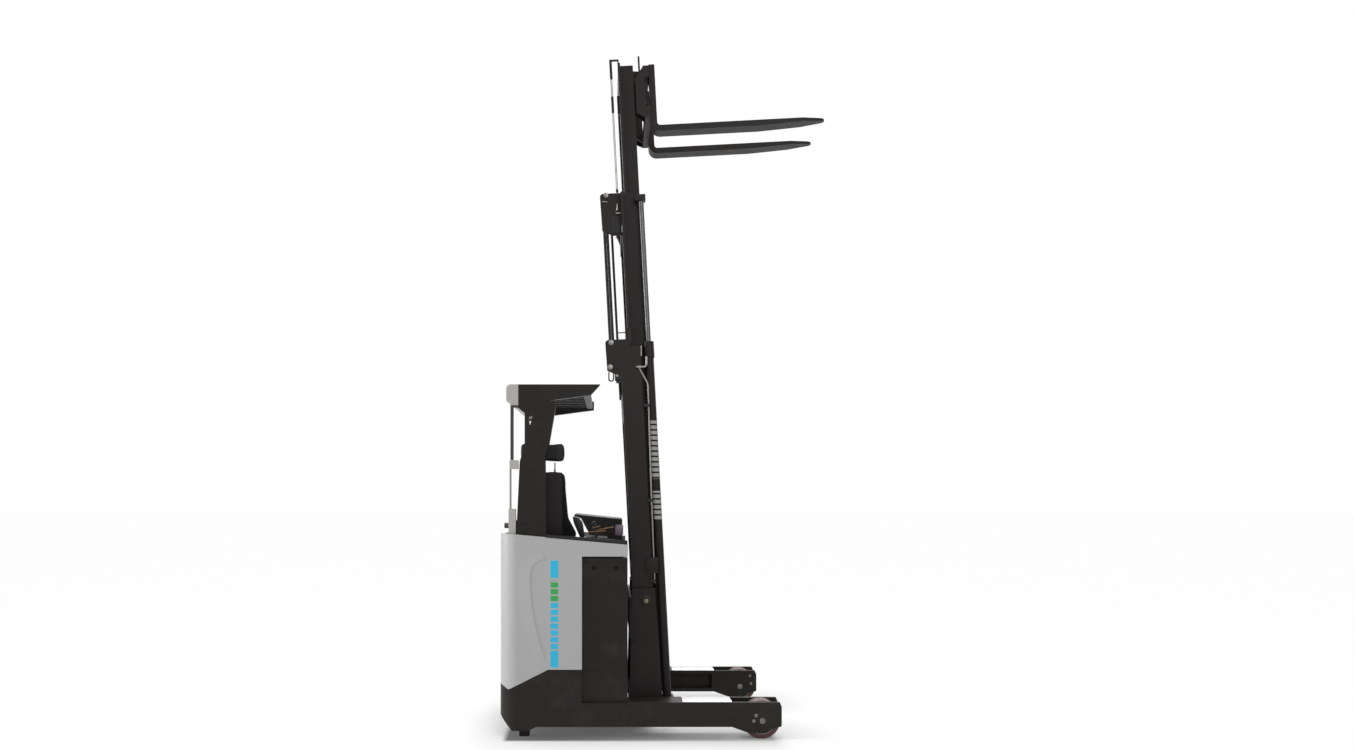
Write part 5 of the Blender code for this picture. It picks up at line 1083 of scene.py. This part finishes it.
def capping():
    """A strip on the near panel's sloping top edge, thicker to the front."""
    strip = block((CAP[0][0], CAP_Y[0], 0.0), (CAP[1][0], CAP_Y[1], 1.0), 0.0001)
    for vertex in strip.data.vertices:
        place = strip.matrix_world @ vertex.co
        t = (place.x - CAP[0][0]) / (CAP[1][0] - CAP[0][0])
        foot = CAP[0][1] + (CAP[1][1] - CAP[0][1]) * t
        rise = CAP_HEIGHT[0] + (CAP_HEIGHT[1] - CAP_HEIGHT[0]) * t
        place.z = foot + rise * (1.0 if place.z > 0.5 else 0.0)
        vertex.co = strip.matrix_world.inverted() @ place
    return strip


settle([capping()], "panel_capping", hose_rubber, "chassis")


# %% Arm pad
def swept_pad(profile, low, high, edge):
    """A pad with one side profile of (x, z) drawn across the truck, all edges rounded."""
    bpy.ops.object.select_all(action="DESELECT")
    bpy.ops.mesh.primitive_circle_add(vertices=len(profile), fill_type="NGON", radius=1.0)
    pad = bpy.context.object
    for vertex, (x, z) in zip(pad.data.vertices, profile):
        vertex.co = (x, low, z)
    edit_all()
    bpy.ops.mesh.extrude_region_move(TRANSFORM_OT_translate={"value": (0.0, high - low, 0.0)})
    bpy.ops.mesh.select_all(action="SELECT")
    bpy.ops.mesh.normals_make_consistent(inside=False)
    bpy.ops.mesh.bevel(offset=edge, segments=3, affect="EDGES")
    bpy.ops.object.mode_set(mode="OBJECT")
    return pad


ARM_PAD = ((0.470, 1.440), (0.508, 1.432), (0.533, 1.395), (0.548, 1.300), (0.522, 1.296),
           (0.478, 1.395))
settle([swept_pad(ARM_PAD, -0.46, -0.30, 0.008)], "arm_pad", seat_vinyl, "chassis")

# %% Painted reflections on the hood
CHEEK_FACE = -0.5035
STREAKS = (((0.585, 1.338), (0.690, 1.346), 0.0050), ((0.640, 1.352), (0.742, 1.372), 0.0045),
           ((0.600, 1.364), (0.655, 1.378), 0.0035))
streak_y = CHEEK_FACE - 0.003
# Tan streaks on the cheek paint the hood's warm reflections.
pieces = [turned((start[0], streak_y, start[1]), (end[0], streak_y, end[1]), radius, 12)
          for start, end, radius in STREAKS]
settle(pieces, "hood_painted_glints", painted_tan_glint, "chassis")
pieces = [block((0.752, CHEEK_FACE - 0.005, 1.318), (0.8055, CHEEK_FACE - SEATED, 1.388), 0.006)]
settle(pieces, "hood_end", lilac_moulding, "chassis")

# %% Stop button
BASE_TOP = 1.245
BUTTON_AT = (0.600, 0.040)
foot, neck, crown = ((*BUTTON_AT, BASE_TOP + rise) for rise in (-0.004, 0.014, 0.030))
pieces = [turned(foot, neck, 0.016, 20, 0.002)]
settle(pieces, "stop_button_collar", black_moulding, "chassis")
pieces = [turned(neck, crown, 0.019, 28, 0.005)]
settle(pieces, "stop_button", stop_red, "chassis")

# %% The pressed line of the near panel
PRESSED = ((0.300, 1.166), (0.262, 1.160), (0.228, 1.140), (0.207, 1.100), (0.201, 1.045),
           (0.205, 0.960), (0.216, 0.860), (0.233, 0.760), (0.256, 0.660), (0.281, 0.570),
           (0.300, 0.520))
# distance before the line and height over the sheet, both in metres
SWELL = ((0.075, -0.0006), (0.050, 0.0009), (0.025, 0.0026), (0.006, 0.0036), (0.0, 0.0035),
         (-0.004, 0.0008), (-0.005, -0.0006))
SHEET_WALL = 0.0008
END_REACH = 0.35


def pressed_line():
    """A sheet that swells towards the line and drops off behind it."""
    line = [Vector((x, 0.0, z)) for x, z in PRESSED]
    mesh = bmesh.new()
    rows = []
    for index, place in enumerate(line):
        before, after = line[max(index - 1, 0)], line[min(index + 1, len(line) - 1)]
        along = (after - before).normalized()
        side = Vector((along.z, 0.0, -along.x))
        if side.x > 0:
            side.negate()
        fade = math.sin(math.pi * (index + 0.35) / (len(line) - 0.3)) ** 0.5
        reach = END_REACH + (1.0 - END_REACH) * fade
        rows.append([mesh.verts.new(place + side * run * reach
                                    + Vector((0.0, -HALF_WIDTH - rise * fade, 0.0)))
                     for run, rise in SWELL])
    for row, following in zip(rows, rows[1:]):
        for index in range(len(SWELL) - 1):
            mesh.faces.new((row[index], row[index + 1], following[index + 1], following[index]))
    data = bpy.data.meshes.new("pressed_line")
    mesh.to_mesh(data)
    mesh.free()
    sheet = bpy.data.objects.new("pressed_line", data)
    bpy.context.scene.collection.objects.link(sheet)
    only(sheet)
    edit_all()
    bpy.ops.mesh.normals_make_consistent(inside=False)
    bpy.ops.object.mode_set(mode="OBJECT")
    if sheet.data.polygons[0].normal.y > 0:
        sheet.data.flip_normals()
    wall = sheet.modifiers.new("wall", "SOLIDIFY")
    wall.thickness = SHEET_WALL
    wall.offset = -1.0
    bpy.ops.object.modifier_apply(modifier="wall")
    sheet.modifiers.new("smooth", "SUBSURF").levels = 2
    bpy.ops.object.modifier_apply(modifier="smooth")
    return sheet


settle([pressed_line()], "pressed_line", panel_grey, "chassis")

# %% Bolts at the foot of the guard pillar
PILLAR_FACE = -0.6122
places = [((x, PILLAR_FACE, z), NEAR) for x, z in ((0.150, 1.400), (0.270, 1.395), (0.150, 1.340))]
settle(bolts(places, 0.0075), "guard_bolts", frame_black, "chassis")

# %% [markdown]
# ## Ready
#
# The scene is brought up to date at the end.

# %% Bring the scene up to date
bpy.context.view_layer.update()
